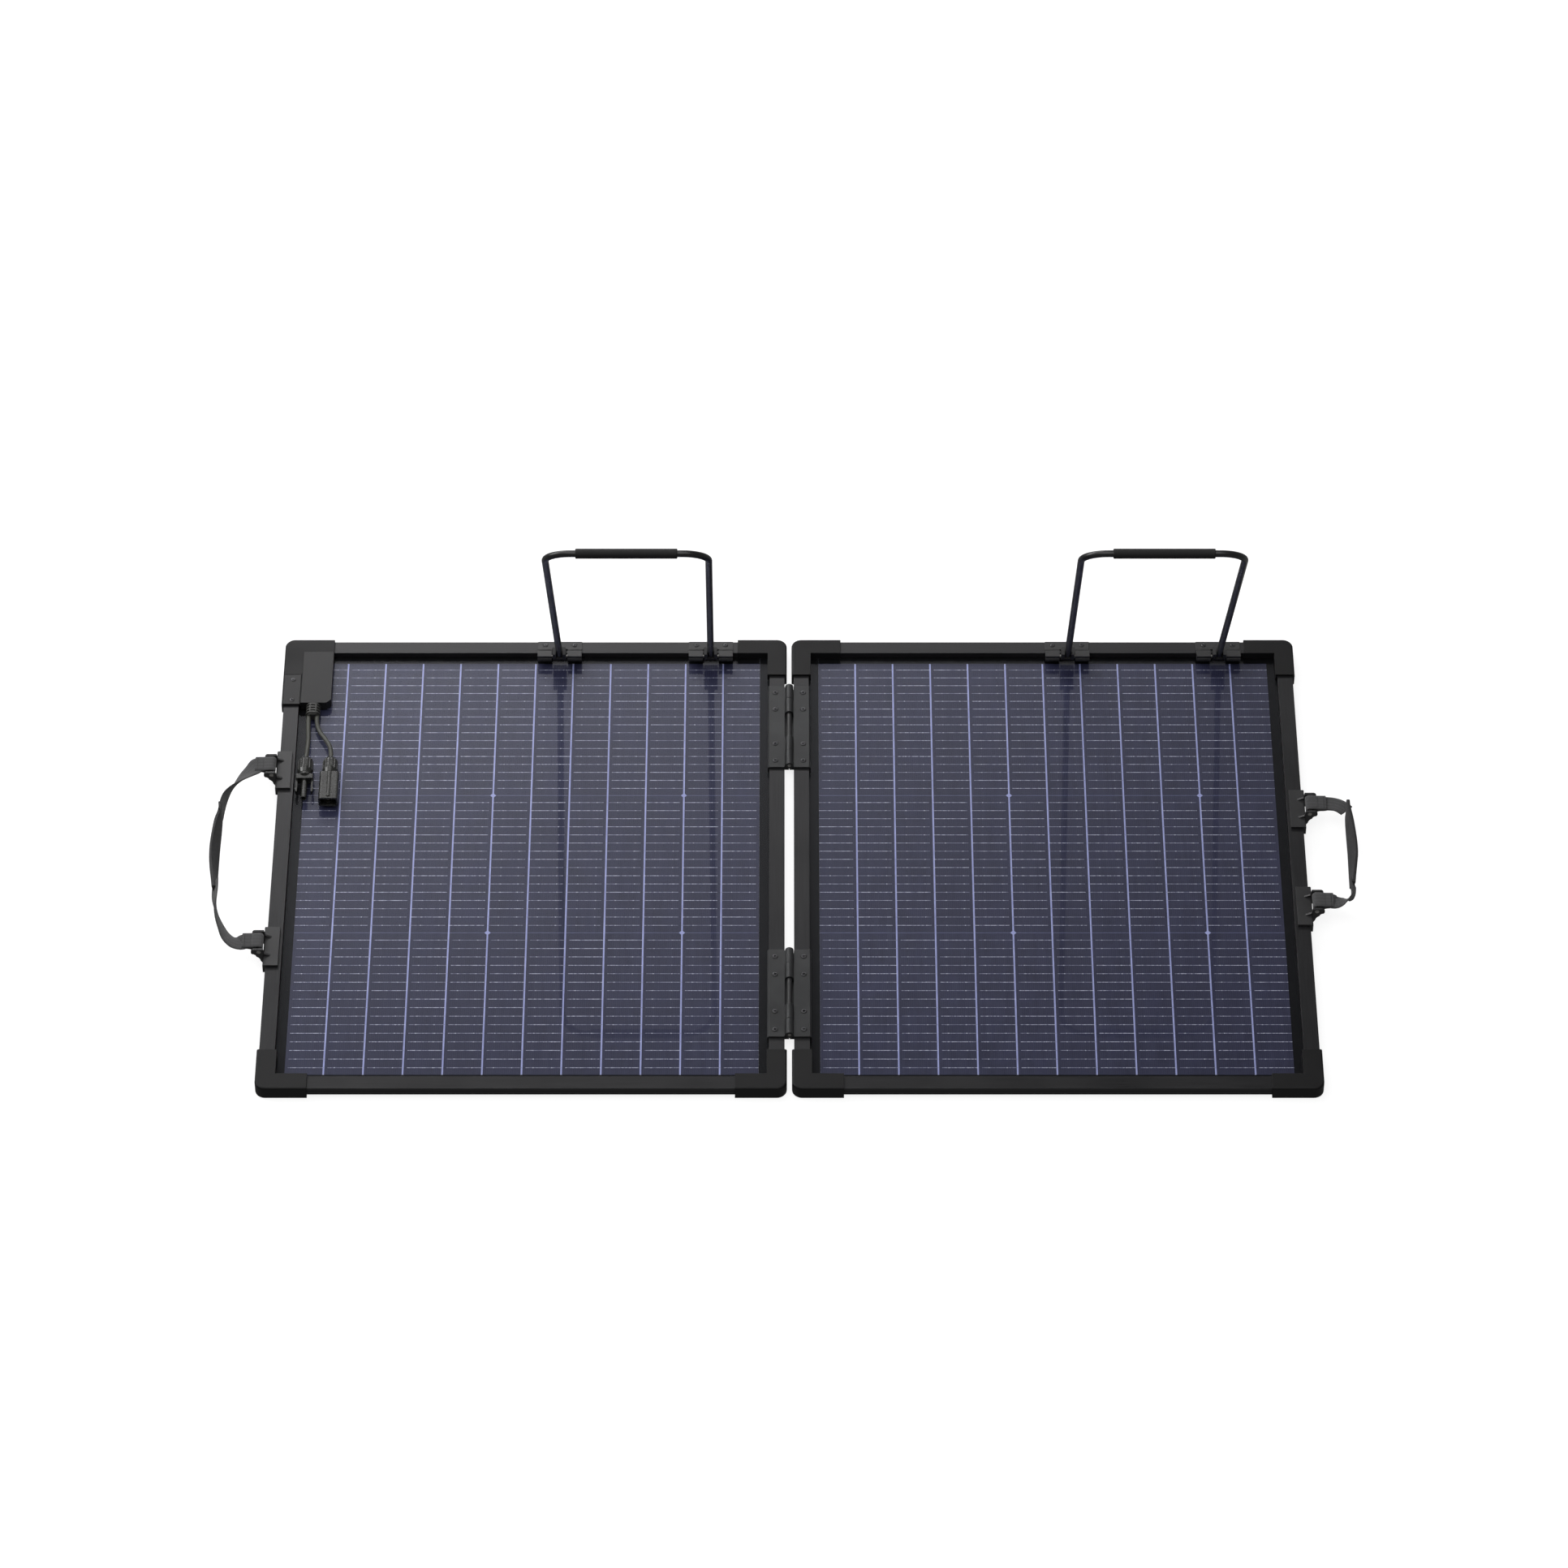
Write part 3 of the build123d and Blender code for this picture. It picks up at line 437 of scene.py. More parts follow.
def build_materials():
    return {
        "rail_x": anodised("anodised_rail_x", "x"),
        "rail_y": anodised("anodised_rail_y", "y"),
        "cap": moulded("cap_moulding", tone(11, 11, 12), tone(17, 17, 18), 0.5, specular=0.25),
        "seal": rubber("seal_strip", tone(12), tone(26), 0.6),
        "back_glass": glass("clear_glass_back", "left_back_glass", 1),
        "front_glass": glass("clear_glass_front", "left_front_glass", -1),
        "hinge": moulded("hinge_alloy_coated", tone(36, 37, 38), tone(50, 51, 52), 0.42, 2200, 0.00003,
                         edge_lift=0.7, metallic=0.3),
        "screw": steel("screw_dark_steel", tone(104, 104, 106), 0.36),
        "steel": steel("bare_pin_steel", tone(178, 176, 172), 0.3),
        "bracket": moulded("bracket_moulding", tone(27, 27, 28), tone(40, 40, 41), 0.44),
        "rod": moulded("rod_paint", tone(6, 6, 7), tone(11, 11, 12), 0.32, 900, 0.00003, coat=0.3),
        "grip": rubber("kickstand_grip_rubber", tone(7), tone(17), 0.7, ribs=0.0022),
        "webbing": webbing(),
        "grip_cloth": grip_cloth(),
        "thread": thread(),
        "box": moulded("box_moulding", tone(20, 20, 21), tone(30, 30, 31), 0.42, specular=0.32),
        "copper": steel("tinned_copper_bar", tone(198, 190, 176), 0.28),
        "epoxy": moulded("diode_case", tone(14), tone(24), 0.4),
        "gland": rubber("gland_moulding", tone(34, 34, 32), tone(58, 58, 54), 0.46),
        "cable": cable_jacket(),
        "connector": moulded("connector_moulding", tone(20, 21, 19), tone(34, 35, 32), 0.24, coat=0.4),
        "cells": cell_silicon(),
        "gap_light": cell_gap_light(),
        "border": border_print(),
        "wire": wire_metal(),
        "solder": solder(),
    }


CAD_FINISHES = {
    "cable_gland": "gland", "corner_cap_junction_box": "cap",
    "connector_body_pin_side": "connector", "connector_body_socket_side": "connector",
    "connector_nut_pin_side": "connector", "connector_nut_socket_side": "connector",
    "connector_contact_pin": "copper", "connector_contact_socket": "copper",
    "hinge_pins": "steel", "hinge_pin_sleeves": "bracket",
    "junction_box_diodes": "epoxy", "junction_box_terminals": "copper",
    "junction_box_housing": "box", "junction_box_lid": "box", "junction_box_screws": "screw",
}
SIDE_FINISHES = {
    "corner_caps_{}": "cap", "hinge_leaves_{}": "hinge", "hinge_screws_{}": "screw",
    "handle_brackets_{}": "bracket", "handle_crossbars_{}": "steel",
    "handle_strap_{}": "webbing", "handle_grip_{}": "grip_cloth",
    "leg_brackets_{}": "bracket", "leg_bracket_screws_{}": "screw", "leg_pivot_pins_{}": "steel",
    "leg_knuckles_{}": "bracket", "leg_rod_{}": "rod", "leg_grip_{}": "grip",
    "{}_rail_back": "rail_x", "{}_rail_front": "rail_x", "{}_rail_inner": "rail_y",
    "{}_rail_outer": "rail_y", "{}_edge_seal": "seal", "{}_cell_layer": "cells",
    "{}_back_glass": "back_glass", "{}_front_glass": "front_glass",
}


def finish_cad_nodes():
    finishes = dict(CAD_FINISHES)
    for pattern, key in SIDE_FINISHES.items():
        for _, name in SIDES:
            finishes[pattern.format(name)] = key
    for name, key in finishes.items():
        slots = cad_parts[name].data.materials
        slots.clear()
        slots.append(MATERIALS[key])


# ---- mesh helpers --------------------------------------------------------------------
def piece(name, bm, body, key, smooth=None):
    """Finished object from a bmesh, riding a body, with its material."""
    mesh = bpy.data.meshes.new(name)
    bmesh.ops.recalc_face_normals(bm, faces=bm.faces)
    bm.to_mesh(mesh)
    bm.free()
    made = bpy.data.objects.new(name, mesh)
    bpy.context.scene.collection.objects.link(made)
    mesh.materials.append(MATERIALS[key])
    if smooth is not None:
        mesh.shade_smooth()
        mesh.set_sharp_from_angle(angle=math.radians(smooth))
    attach(made, body)
    return made


def slab(bm, low, high, tone_layer=None, value=0.0, corners=None):
    """Closed thin prism over a rectangle, or over the given outline."""
    outline = corners or [(low[0], low[1]), (high[0], low[1]), (high[0], high[1]), (low[0], high[1])]
    floor = [bm.verts.new((x, y, low[2])) for x, y in outline]
    roof = [bm.verts.new((x, y, high[2])) for x, y in outline]
    count = len(outline)
    bm.faces.new(list(reversed(floor)))
    bm.faces.new(roof)
    for i in range(count):
        bm.faces.new((floor[i], floor[(i + 1) % count], roof[(i + 1) % count], roof[i]))
    if tone_layer:
        for vert in floor + roof:
            vert[tone_layer] = value


# ---- cells ---------------------------------------------------------------------------
ROW_LINE = 0.25 * MM            # the gap between rows is mostly covered by the strips' ends
GAP_LIGHT_INSET = 0.3 * MM
BORDER_INSET = 0.1 * MM
BORDER_EDGE = 0.02 * MM         # between the print and the field
# Each layer's bottom and top, above the bottom of the cell layer.
BORDER_Z = (0.03 * MM, 0.37 * MM)
GAP_LIGHT_Z = (0.12 * MM, 0.26 * MM)
CELL_Z = (0.07 * MM, 0.3 * MM)
WIRE_Z = {"back": (0.3 * MM, 0.365 * MM), "sun": (0.015 * MM, 0.07 * MM)}
PAD_Z = (0.3 * MM, 0.385 * MM)
WAFER_STRIPS = 5
WAFER_CHAMFER = 2.2 * MM
WIRES = 16
WIRE_PITCH = 10.95 * MM
WIRE_W = 0.52 * MM
WIRE_SHORT = 3.0 * MM           # each wire stops short of one side of its strip
WIRE_OVER = {"back": CELL_GAP * 0.7, "sun": CELL_GAP * 0.4}
PAD_HALF = (0.55 * MM, 0.4 * MM)
PAD_SHARES = (0.25, 0.74)       # the two solder pads of a wire, across its strip


def strip_outline(x0, x1, y0, y1, strip, row):
    """Outline of a cell strip, its corners cut where wafers' corners meet inside the field."""
    first = strip % WAFER_STRIPS == 0 and strip > 0
    last = strip % WAFER_STRIPS == WAFER_STRIPS - 1
    corners = ((x1, y0, -1, 1, last and row > 0), (x1, y1, -1, -1, last and row < ROWS - 1),
               (x0, y1, 1, -1, first and row < ROWS - 1), (x0, y0, 1, 1, first and row > 0))
    points = []
    for x, y, inward, upward, chamfered in corners:
        if not chamfered:
            points.append((x, y))
            continue
        beside = (x + inward * WAFER_CHAMFER, y)
        along = (x, y + upward * WAFER_CHAMFER)
        points += [beside, along] if inward == -upward else [along, beside]
    return points


def build_cells(name):
    layer_low, layer_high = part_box(f"{name}_cell_layer")
    middle = (layer_low.x + layer_high.x) / 2
    bottom = layer_low.z
    body = f"{name}_panel"

    gap_light = bmesh.new()
    half_x, half_y = FIELD_X - GAP_LIGHT_INSET, FIELD_Y - GAP_LIGHT_INSET
    slab(gap_light, (middle - half_x, -half_y, bottom + GAP_LIGHT_Z[0]),
         (middle + half_x, half_y, bottom + GAP_LIGHT_Z[1]))
    # Painted light: this lavender sheet under the cells stands for light showing through the gaps.
    sheet = piece(f"{name}_encapsulant", gap_light, body, "gap_light")
    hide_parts(f"{name}_cell_layer")

    border = bmesh.new()
    y_out = layer_high.y - BORDER_INSET
    z0, z1 = bottom + BORDER_Z[0], bottom + BORDER_Z[1]
    slab(border, (layer_low.x + BORDER_INSET, -y_out, z0), (middle - FIELD_X - BORDER_EDGE, y_out, z1))
    slab(border, (middle + FIELD_X + BORDER_EDGE, -y_out, z0), (layer_high.x - BORDER_INSET, y_out, z1))
    for sign in (-1, 1):
        ys = sorted((sign * (FIELD_Y + BORDER_EDGE), sign * y_out))
        slab(border, (middle - FIELD_X, ys[0], z0), (middle + FIELD_X, ys[1], z1))
    piece(f"{name}_border_print", border, body, "border")

    cells = bmesh.new()
    own = cells.verts.layers.float.new("tone")
    wires = {"back": bmesh.new(), "sun": bmesh.new()}
    wire_own = {key: bm.verts.layers.float.new("tone") for key, bm in wires.items()}
    pads = bmesh.new()
    grow = (CELL_GAP - ROW_LINE) / 2
    for row in range(ROWS):
        row_y = (row - 1) * (CELL_L + CELL_GAP)
        y0 = row_y - CELL_L / 2 - (grow if row else 0)
        y1 = row_y + CELL_L / 2 + (grow if row < ROWS - 1 else 0)
        shift = random.random() * 0.2
        for strip in range(STRIPS):
            x0 = middle - FIELD_X + strip * (CELL_W + CELL_GAP)
            x1 = x0 + CELL_W
            outline = strip_outline(x0, x1, y0, y1, strip, row)
            slab(cells, (0, 0, bottom + CELL_Z[0]), (0, 0, bottom + CELL_Z[1]), own, random.random(),
                 outline)
            for wire in range(WIRES):
                y = row_y + (wire - (WIRES - 1) / 2) * WIRE_PITCH
                level = random.choice((0.35, 0.6, 1.0))
                # The middle row is wired the other way round, and so is the sun side.
                for key, low_short in (("back", row != 1), ("sun", row == 1)):
                    start = x0 + WIRE_SHORT if low_short else x0 - WIRE_OVER[key]
                    stop = x1 + WIRE_OVER[key] if low_short else x1 - WIRE_SHORT
                    if strip == 0:
                        start = max(start, x0)
                    if strip == STRIPS - 1 and key == "back":
                        stop = min(stop, x1)
                    low, high = WIRE_Z[key]
                    slab(wires[key], (start, y - WIRE_W / 2, bottom + low),
                         (stop, y + WIRE_W / 2, bottom + high), wire_own[key], level)
                for share in PAD_SHARES:
                    x = x0 + CELL_W * (share + shift * 0.25 + random.uniform(-0.012, 0.012))
                    slab(pads, (x - PAD_HALF[0], y - PAD_HALF[1], bottom + PAD_Z[0]),
                         (x + PAD_HALF[0], y + PAD_HALF[1], bottom + PAD_Z[1]))
    piece(f"{name}_cell_strips", cells, body, "cells")
    piece(f"{name}_wires_back", wires["back"], body, "wire")
    piece(f"{name}_wires_sun_side", wires["sun"], body, "wire")
    piece(f"{name}_solder_pads", pads, body, "solder")


# ---- screws --------------------------------------------------------------------------
SHADOW_RING_W = 0.55 * MM
SHADOW_RING_T = 0.06 * MM
HEAD_POINTS = 28
HEAD_CHAMFER = 0.35 * MM
HEAD_PROUD = 0.2 * MM            # above the CAD screw
RECESS_DEPTH = 0.6 * MM
RECESS_TAPER = 0.75


def head_ring(bm, centre, radius, z):
    """Circle of points around a screw's axis."""
    turns = [math.tau * i / HEAD_POINTS for i in range(HEAD_POINTS)]
    return [bm.verts.new(centre + Vector((radius * math.cos(turn), radius * math.sin(turn), z)))
            for turn in turns]


def screw_head(bm, centre, radius, height, turn):
    """Low countersunk head with a cross recess."""
    around = HEAD_POINTS
    levels = ((radius, 0.0), (radius, height * 0.35), (radius - HEAD_CHAMFER, height * 0.9))
    rings = [head_ring(bm, centre, r, z) for r, z in levels]
    long, short = radius * 0.62, radius * 0.17
    arm = [(long, -short), (long, short), (short, short)]
    cross = []
    for _ in range(4):
        cross += arm
        arm = [(-y, x) for x, y in arm]
    spin = Matrix.Rotation(turn, 2)
    tops, floors = [], []
    for x, y in cross:
        flat = spin @ Vector((x, y))
        tops.append(bm.verts.new(centre + Vector((flat.x, flat.y, height))))
        deep = Vector((flat.x * RECESS_TAPER, flat.y * RECESS_TAPER, height * 0.1 - RECESS_DEPTH))
        floors.append(bm.verts.new(centre + deep))
    bm.faces.new(list(reversed(rings[0])))
    for lower, upper in zip(rings, rings[1:]):
        for i in range(around):
            bm.faces.new((lower[i], lower[(i + 1) % around], upper[(i + 1) % around], upper[i]))
    for i in range(12):
        bm.faces.new((tops[i], tops[(i + 1) % 12], floors[(i + 1) % 12], floors[i]))
    bm.faces.new(floors)
    ring_edges = [bm.edges.get((rings[-1][i], rings[-1][(i + 1) % around])) for i in range(around)]
    cross_edges = [bm.edges.get((tops[i], tops[(i + 1) % 12])) for i in range(12)]
    bmesh.ops.triangle_fill(bm, edges=ring_edges + cross_edges, use_beauty=True)


def screw_shadow_ring(bm, centre, radius):
    """Painted shade: a thin dark ring around a head, standing for the shadow in its countersink."""
    around = HEAD_POINTS
    inside, outside = radius * 0.98, radius + SHADOW_RING_W
    levels = ((inside, 0.0), (inside, SHADOW_RING_T), (outside, SHADOW_RING_T), (outside, 0.0))
    loops = [head_ring(bm, centre, r, z) for r, z in levels]
    for inner, outer in zip(loops, loops[1:] + loops[:1]):
        for i in range(around):
            bm.faces.new((inner[i], inner[(i + 1) % around], outer[(i + 1) % around], outer[i]))


def build_screws(node, body):
    bm = bmesh.new()
    shadow_rings = bmesh.new()
    for low, high in solids(node):
        centre = Vector(((low.x + high.x) / 2, (low.y + high.y) / 2, low.z))
        radius = (high.x - low.x) / 2
        screw_head(bm, centre, radius, high.z - low.z + HEAD_PROUD, random.uniform(0, math.pi / 2))
        screw_shadow_ring(shadow_rings, centre, radius)
    made = piece(f"{node}_heads", bm, body, "screw", smooth=30)
    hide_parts(node)
    # Painted shade: these dark rings stand for the shadow in the screws' countersinks.
    piece(f"{node}_seats", shadow_rings, body, "seal", smooth=30)


# ---- webbing handles -------------------------------------------------------------------
WEB_W = 18.6 * MM
WEB_T = 1.6 * MM
STEPS = 7


def catmull(values, t):
    """Smooth value along a list of vectors, t counted in stations."""
    i = min(int(t), len(values) - 2)
    u = t - i
    a, b = values[max(i - 1, 0)], values[i]
    c, d = values[i + 1], values[min(i + 2, len(values) - 1)]
    bend = (2 * a - 5 * b + 4 * c - d) * u * u
    return 0.5 * (2 * b + (c - a) * u + bend + (3 * b - a - 3 * c + d) * u ** 3)


def ribbon(bm, stations, width, thick):
    """Closed band through (centre, width direction) stations, with rounded selvedges and a weave UV."""
    layer = bm.loops.layers.uv.get("weave") or bm.loops.layers.uv.new("weave")
    centres = [centre for centre, _ in stations]
    widths = [wide.normalized() for _, wide in stations]
    half, deep = width / 2, thick / 2
    top = [(-1, 0.0), (-0.985, 0.55), (-0.93, 0.9), (-0.6, 1.0), (-0.2, 1.0), (0.2, 1.0), (0.6, 1.0),
           (0.93, 0.9), (0.985, 0.55)]
    section = top + [(-w, -d) for w, d in top]
    total = (len(centres) - 1) * STEPS
    rings = []
    run = 0.0
    last = centres[0]
    for step in range(total + 1):
        t = step / STEPS
        here = catmull(centres, t)
        ahead = catmull(centres, min(t + 0.02, len(centres) - 1)) - catmull(centres, max(t - 0.02, 0))
        tangent = ahead.normalized()
        wide = catmull(widths, t)
        wide = (wide - tangent * wide.dot(tangent)).normalized()
        up = tangent.cross(wide)
        run += (here - last).length
        last = here
        ring = [bm.verts.new(here + wide * (w * half) + up * (d * deep)) for w, d in section]
        rings.append((ring, run))
    count = len(section)
    for (low, low_run), (high, high_run) in zip(rings, rings[1:]):
        for i in range(count):
            j = (i + 1) % count
            face = bm.faces.new((low[i], low[j], high[j], high[i]))
            places = ((low_run, i), (low_run, j), (high_run, j), (high_run, i))
            for loop, (along, corner) in zip(face.loops, places):
                loop[layer].uv = (along, section[corner][0] * half)
    for ring, _ in (rings[0], rings[-1]):
        bm.faces.new(ring)


# One strap end, as (out from the rail, height) in mm at the crossbar's middle: tail on top, once
# round the crossbar, then out as a single layer.
WRAP = [(23.0, 22.9), (18.5, 23.0), (14.2, 23.1), (11.6, 23.6), (8.0, 23.8), (5.0, 23.3), (3.4, 21.4),
        (3.5, 19.2), (5.6, 17.6), (9.0, 18.0), (12.6, 19.8), (16.5, 21.0), (20.5, 21.2)]
# Free run of each strap end, as (out, Y, height) in mm and twist in degrees.  The twist turns the
# width from level to upright.
FREE_RUNS = {
    ("left", 1): [(24.5, 112.0, 21.4, -9), (30.3, 105.0, 21.8, -24), (36.0, 97.0, 22.4, -42),
                  (41.6, 88.0, 23.0, -62), (46.5, 79.0, 23.6, -80), (50.2, 70.0, 24.0, -93),
                  (52.2, 60.0, 24.3, -98), (53.2, 48.0, 24.5, -98)],
    ("left", -1): [(24.5, -120.2, 21.4, -6), (30.5, -119.0, 21.8, -14), (36.5, -114.5, 22.2, -34),
                   (42.0, -105.0, 22.8, -54), (46.6, -93.5, 23.4, -66), (50.0, -81.0, 24.0, -80),
                   (52.0, -67.0, 24.4, -101), (53.0, -56.0, 24.5, -110), (53.4, -44.0, 24.5, -110)],
    ("right", 1): [(24.5, 65.0, 21.4, -3), (29.5, 64.3, 21.6, -4), (34.4, 62.6, 21.8, -6),
                   (38.8, 59.6, 21.7, -8), (43.0, 55.8, 21.2, -10)],
    ("right", -1): [(24.5, -66.4, 21.4, -6), (28.5, -66.0, 21.6, -16), (32.8, -65.0, 22.0, -32),
                    (37.0, -63.9, 22.8, -52), (40.0, -62.0, 23.6, -74), (41.6, -57.5, 24.2, -98),
                    (42.6, -51.0, 24.5, -108), (43.2, -43.0, 24.5, -110)],
}
# Grip: (Y, inner edge out, visible width) in mm; the folded band lies flat in the middle and
# turns on edge at both ends.
GRIPS = {
    "left": [(60.0, 53.6, 1.5), (54.0, 52.3, 3.2), (47.0, 51.2, 5.4), (38.0, 50.7, 8.4),
             (24.0, 50.6, 10.2), (6.0, 50.8, 11.2), (-10.0, 50.9, 10.8), (-26.0, 51.0, 9.2),
             (-40.0, 51.0, 7.2), (-52.5, 50.9, 5.6)],
    "right": [(62.5, 43.6, 1.4), (56.0, 41.9, 4.4), (48.0, 40.6, 6.8), (38.0, 40.0, 8.8),
              (24.0, 39.8, 10.2), (8.0, 39.8, 11.1), (-6.0, 39.8, 10.9), (-20.0, 39.7, 9.4),
              (-34.0, 39.6, 7.6), (-47.0, 39.6, 6.0)],
}
GRIP_Z = 24.6
GRIP_BAND = 12.0
GRIP_THICK = 3.6
# Two rows of stitches across each tail, in mm.
SEAM_OUTS = (14.8, 20.6)
SEAM_HALF = 8.2
SEAM_Z = 23.82
SEAM_STITCHES = 7
STITCH_L = 1.7 * MM
STITCH_R = 0.22 * MM
STITCH_SIDES = 6
UP = Vector((0, 0, 1))


def handle_point(side, out, y, z):
    return Vector((OUTER[side] + side * out * MM, y * MM, z * MM))


def strap_stations(side, name, end):
    bars = sorted(solids(f"handle_crossbars_{name}"), key=lambda box: box[0].y)
    low, high = bars[0] if end < 0 else bars[1]
    bar_y = (low.y + high.y) / 2 / MM
    across = Vector((0, 1, 0))
    stations = [(handle_point(side, out, bar_y, z), across) for out, z in WRAP]
    run = FREE_RUNS[(name, end)]
    points = [Vector((out, y)) for out, y, _, _ in run]
    for i, (out, y, z, twist) in enumerate(run):
        before = points[i - 1] if i else Vector((WRAP[-1][0], bar_y))
        after = points[min(i + 1, len(points) - 1)]
        heading = (after - before).normalized()
        level = Vector((-heading.y, heading.x))
        angle = math.radians(twist)
        width = Vector((side * level.x * math.cos(angle), level.y * math.cos(angle), math.sin(angle)))
        stations.append((handle_point(side, out, y, z), width))
    return stations


def grip_stations(side, name):
    stations = []
    span = GRIP_BAND ** 2 + GRIP_THICK ** 2
    for y, inner, seen in GRIPS[name]:
        share = (GRIP_BAND * seen - GRIP_THICK * math.sqrt(span - seen ** 2)) / span
        share = max(0.0, share)
        rise = math.sqrt(1 - share * share)
        width = Vector((side * share, 0, rise))
        stations.append((handle_point(side, inner + seen / 2, y, GRIP_Z), width))
    return stations


def stitches(bm, start, end):
    """Row of short thread stitches between two points, lying on a level surface."""
    run = end - start
    along = run.normalized()
    side = along.cross(UP).normalized()
    for i in range(SEAM_STITCHES):
        middle = start + run * ((i + 0.5) / SEAM_STITCHES)
        rings = []
        for share, lift in ((-0.5, -1.0), (-0.25, 0.6), (0.25, 0.6), (0.5, -1.0)):
            centre = middle + along * (STITCH_L * share) + UP * (STITCH_R * lift)
            ring = []
            for corner in range(STITCH_SIDES):
                angle = math.tau * corner / STITCH_SIDES
                arm = side * math.cos(angle) + UP * math.sin(angle)
                ring.append(bm.verts.new(centre + arm * STITCH_R))
            rings.append(ring)
        for low, high in zip(rings, rings[1:]):
            for j in range(STITCH_SIDES):
                after = (j + 1) % STITCH_SIDES
                bm.faces.new((low[j], low[after], high[after], high[j]))
        bm.faces.new(rings[0])
        bm.faces.new(rings[-1])


def build_handles():
    for side, name in SIDES:
        body = f"{name}_handle"
        strap = bmesh.new()
        thread_mesh = bmesh.new()
        for end in (-1, 1):
            stations = strap_stations(side, name, end)
            ribbon(strap, stations, WEB_W, WEB_T)
            bar_y = stations[0][0].y / MM
            for out in SEAM_OUTS:
                stitches(thread_mesh, handle_point(side, out, bar_y - SEAM_HALF, SEAM_Z),
                         handle_point(side, out, bar_y + SEAM_HALF, SEAM_Z))
        made = piece(f"{name}_handle_webbing", strap, body, "webbing", smooth=50)
        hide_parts(f"handle_strap_{name}")
        grip = bmesh.new()
        ribbon(grip, grip_stations(side, name), GRIP_BAND * MM, GRIP_THICK * MM)
        made = piece(f"{name}_handle_grip_band", grip, body, "grip_cloth", smooth=50)
        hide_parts(f"handle_grip_{name}")
        piece(f"{name}_handle_stitching", thread_mesh, body, "thread", smooth=50)


# ---- leads ---------------------------------------------------------------------------
# The routes of the CAD leads in mm: x from the left rail's outer face, y from the back rail's
# outer face, z from the glass.
LEAD_RADIUS = 2.3 * MM
LEAD_ROUTES = {
    "lead_pin_side": [(26.0, 97.8, 5.8), (26.0, 116.0, 5.8), (27.3, 134.0, 5.4), (27.0, 150.0, 7.4),
                      (26.4, 165.0, 8.0)],
    "lead_socket_side": [(34.2, 97.8, 5.8), (34.2, 111.6, 5.8), (37.4, 124.6, 5.1), (46.0, 138.4, 6.0),
                         (51.1, 151.6, 7.7), (51.1, 165.0, 8.0)],
}


def build_leads():
    for name, route in LEAD_ROUTES.items():
        points = [Vector((OUTER[-1] + x * MM, BACK_Y - y * MM, GLASS_TOP + z * MM)) for x, y, z in route]
        curve = bpy.data.curves.new(f"{name}_cable", "CURVE")
        curve.dimensions = "3D"
        curve.bevel_depth = LEAD_RADIUS
        curve.bevel_resolution = 6
        curve.resolution_u = 24
        curve.use_fill_caps = True
        spline = curve.splines.new("NURBS")
        spline.points.add(len(points) - 1)
        for place, point in zip(spline.points, points):
            place.co = (*point, 1.0)
        spline.order_u = 3
        spline.use_endpoint_u = True
        curve.materials.append(MATERIALS["cable"])
        made = bpy.data.objects.new(f"{name}_cable", curve)
        bpy.context.scene.collection.objects.link(made)
        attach(made, "left_panel")
        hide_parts(name)


# ---- stage ---------------------------------------------------------------------------
SOFTBOX_HALF = (1.6, 0.8)
SOFTBOX_PLACE = (0, 1.75, 1.75)
SOFTBOX_TILT = math.radians(-44)
SOFTBOX_POWER = 1.9
FLOOR_HALF = 30
FLOOR_DROP = 0.2 * MM
FLOOR_GLOW = 0.84
WORLD_POWER = 0.2
WHITE = (1.0, 1.0, 1.0, 1.0)


def area_light(name, place, target, size, power):
    data = bpy.data.lights.new(name, "AREA")
    data.shape = "RECTANGLE"
    data.size, data.size_y = size
    data.energy = power
    lamp = bpy.data.objects.new(name, data)
    bpy.context.scene.collection.objects.link(lamp)
    lamp.location = place
    lamp.rotation_mode = "QUATERNION"
    lamp.rotation_quaternion = (Vector(target) - Vector(place)).to_track_quat("-Z", "Y")
    lamp.visible_camera = False


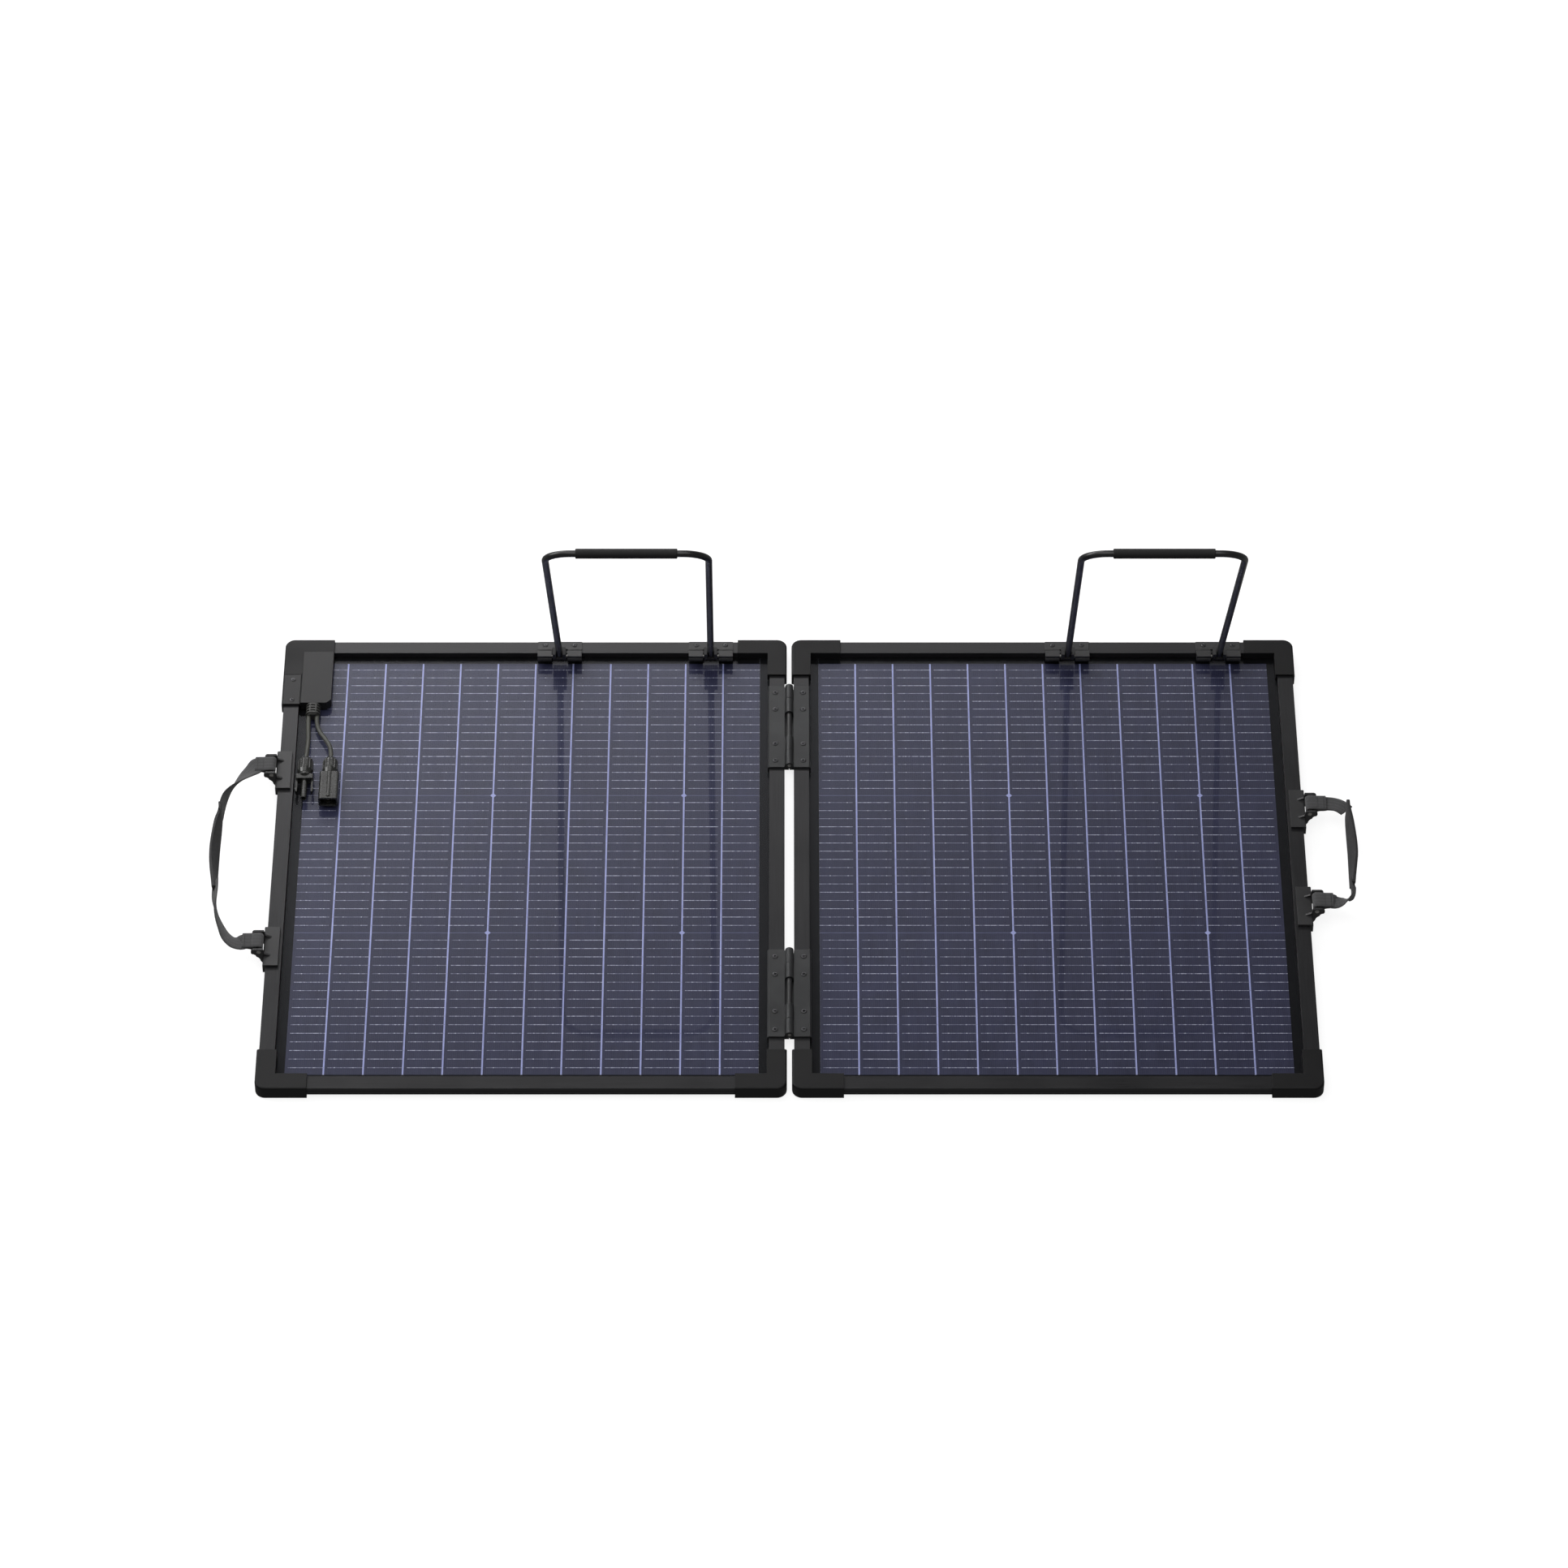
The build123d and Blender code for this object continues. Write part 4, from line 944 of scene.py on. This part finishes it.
def build_softbox():
    """Tall diffuser behind the object, brighter at its left, that the glass and rails mirror."""
    s = Shader("softbox_glow")
    across = s.ramp(s.axis("X"), -1.5, 0.9, 1.0, 0.08)
    upward = s.ramp(s.axis("Y"), -0.48, 0.3, 0.04, 1.0)
    foot = s.ramp(s.axis("Y"), 0.3, 0.6, 1.0, 8.0)
    shape = s.math("MULTIPLY", s.math("MULTIPLY", across, upward), foot)
    strength = s.math("MULTIPLY", shape, SOFTBOX_POWER)
    glow = s.node("ShaderNodeEmission", Color=(1.0, 0.99, 1.0, 1.0), Strength=strength)
    s.put(s.end.inputs["Surface"], glow.outputs[0])
    mesh = bpy.data.meshes.new("softbox")
    bm = bmesh.new()
    half_x, half_y = SOFTBOX_HALF
    corners = ((-half_x, -half_y, 0), (half_x, -half_y, 0), (half_x, half_y, 0), (-half_x, half_y, 0))
    bm.faces.new([bm.verts.new(corner) for corner in corners])
    bm.to_mesh(mesh)
    bm.free()
    mesh.materials.append(s.material)
    box = bpy.data.objects.new("softbox", mesh)
    bpy.context.scene.collection.objects.link(box)
    box.location = SOFTBOX_PLACE
    box.rotation_euler = (SOFTBOX_TILT, 0, 0)
    box.visible_camera = False


def build_floor():
    """White paper that neither lights the object nor shows in its reflections."""
    mesh = bpy.data.meshes.new("floor")
    bm = bmesh.new()
    bmesh.ops.create_grid(bm, x_segments=2, y_segments=2, size=FLOOR_HALF)
    bm.to_mesh(mesh)
    bm.free()
    s = Shader("floor_paper")
    paper = s.noise(300, 3)
    mesh.materials.append(s.principled(
        Base_Color=s.mix(paper, tone(150), tone(160)), Roughness=0.9, Specular_IOR_Level=0.0,
        Emission_Color=WHITE, Emission_Strength=FLOOR_GLOW))
    floor = bpy.data.objects.new("floor", mesh)
    bpy.context.scene.collection.objects.link(floor)
    floor.location = (0, 0, cad_box[0].z - FLOOR_DROP)
    floor.visible_glossy = False
    floor.visible_diffuse = False


def build_stage():
    build_floor()
    scene = bpy.context.scene
    scene.view_settings.view_transform = "Standard"
    world = bpy.data.worlds.new("studio")
    scene.world = world
    world.use_nodes = True
    sky = world.node_tree.nodes["Background"]
    sky.inputs["Color"].default_value = WHITE
    sky.inputs["Strength"].default_value = WORLD_POWER
    build_softbox()
    area_light("top_light", (-0.3, -0.2, 2.8), (0, 0, 0), (3.6, 2.4), 38)
    area_light("left_light", (-2.4, 0.9, 1.6), (-0.2, 0, 0), (1.4, 1.6), 30)


MATERIALS = build_materials()
build_camera()
build_leads()
finish_cad_nodes()
for _, panel in SIDES:
    build_cells(panel)
for screws in ("hinge_screws", "leg_bracket_screws"):
    for _, panel in SIDES:
        build_screws(f"{screws}_{panel}", f"{panel}_panel")
build_screws("junction_box_screws", "left_panel")
build_handles()
build_stage()
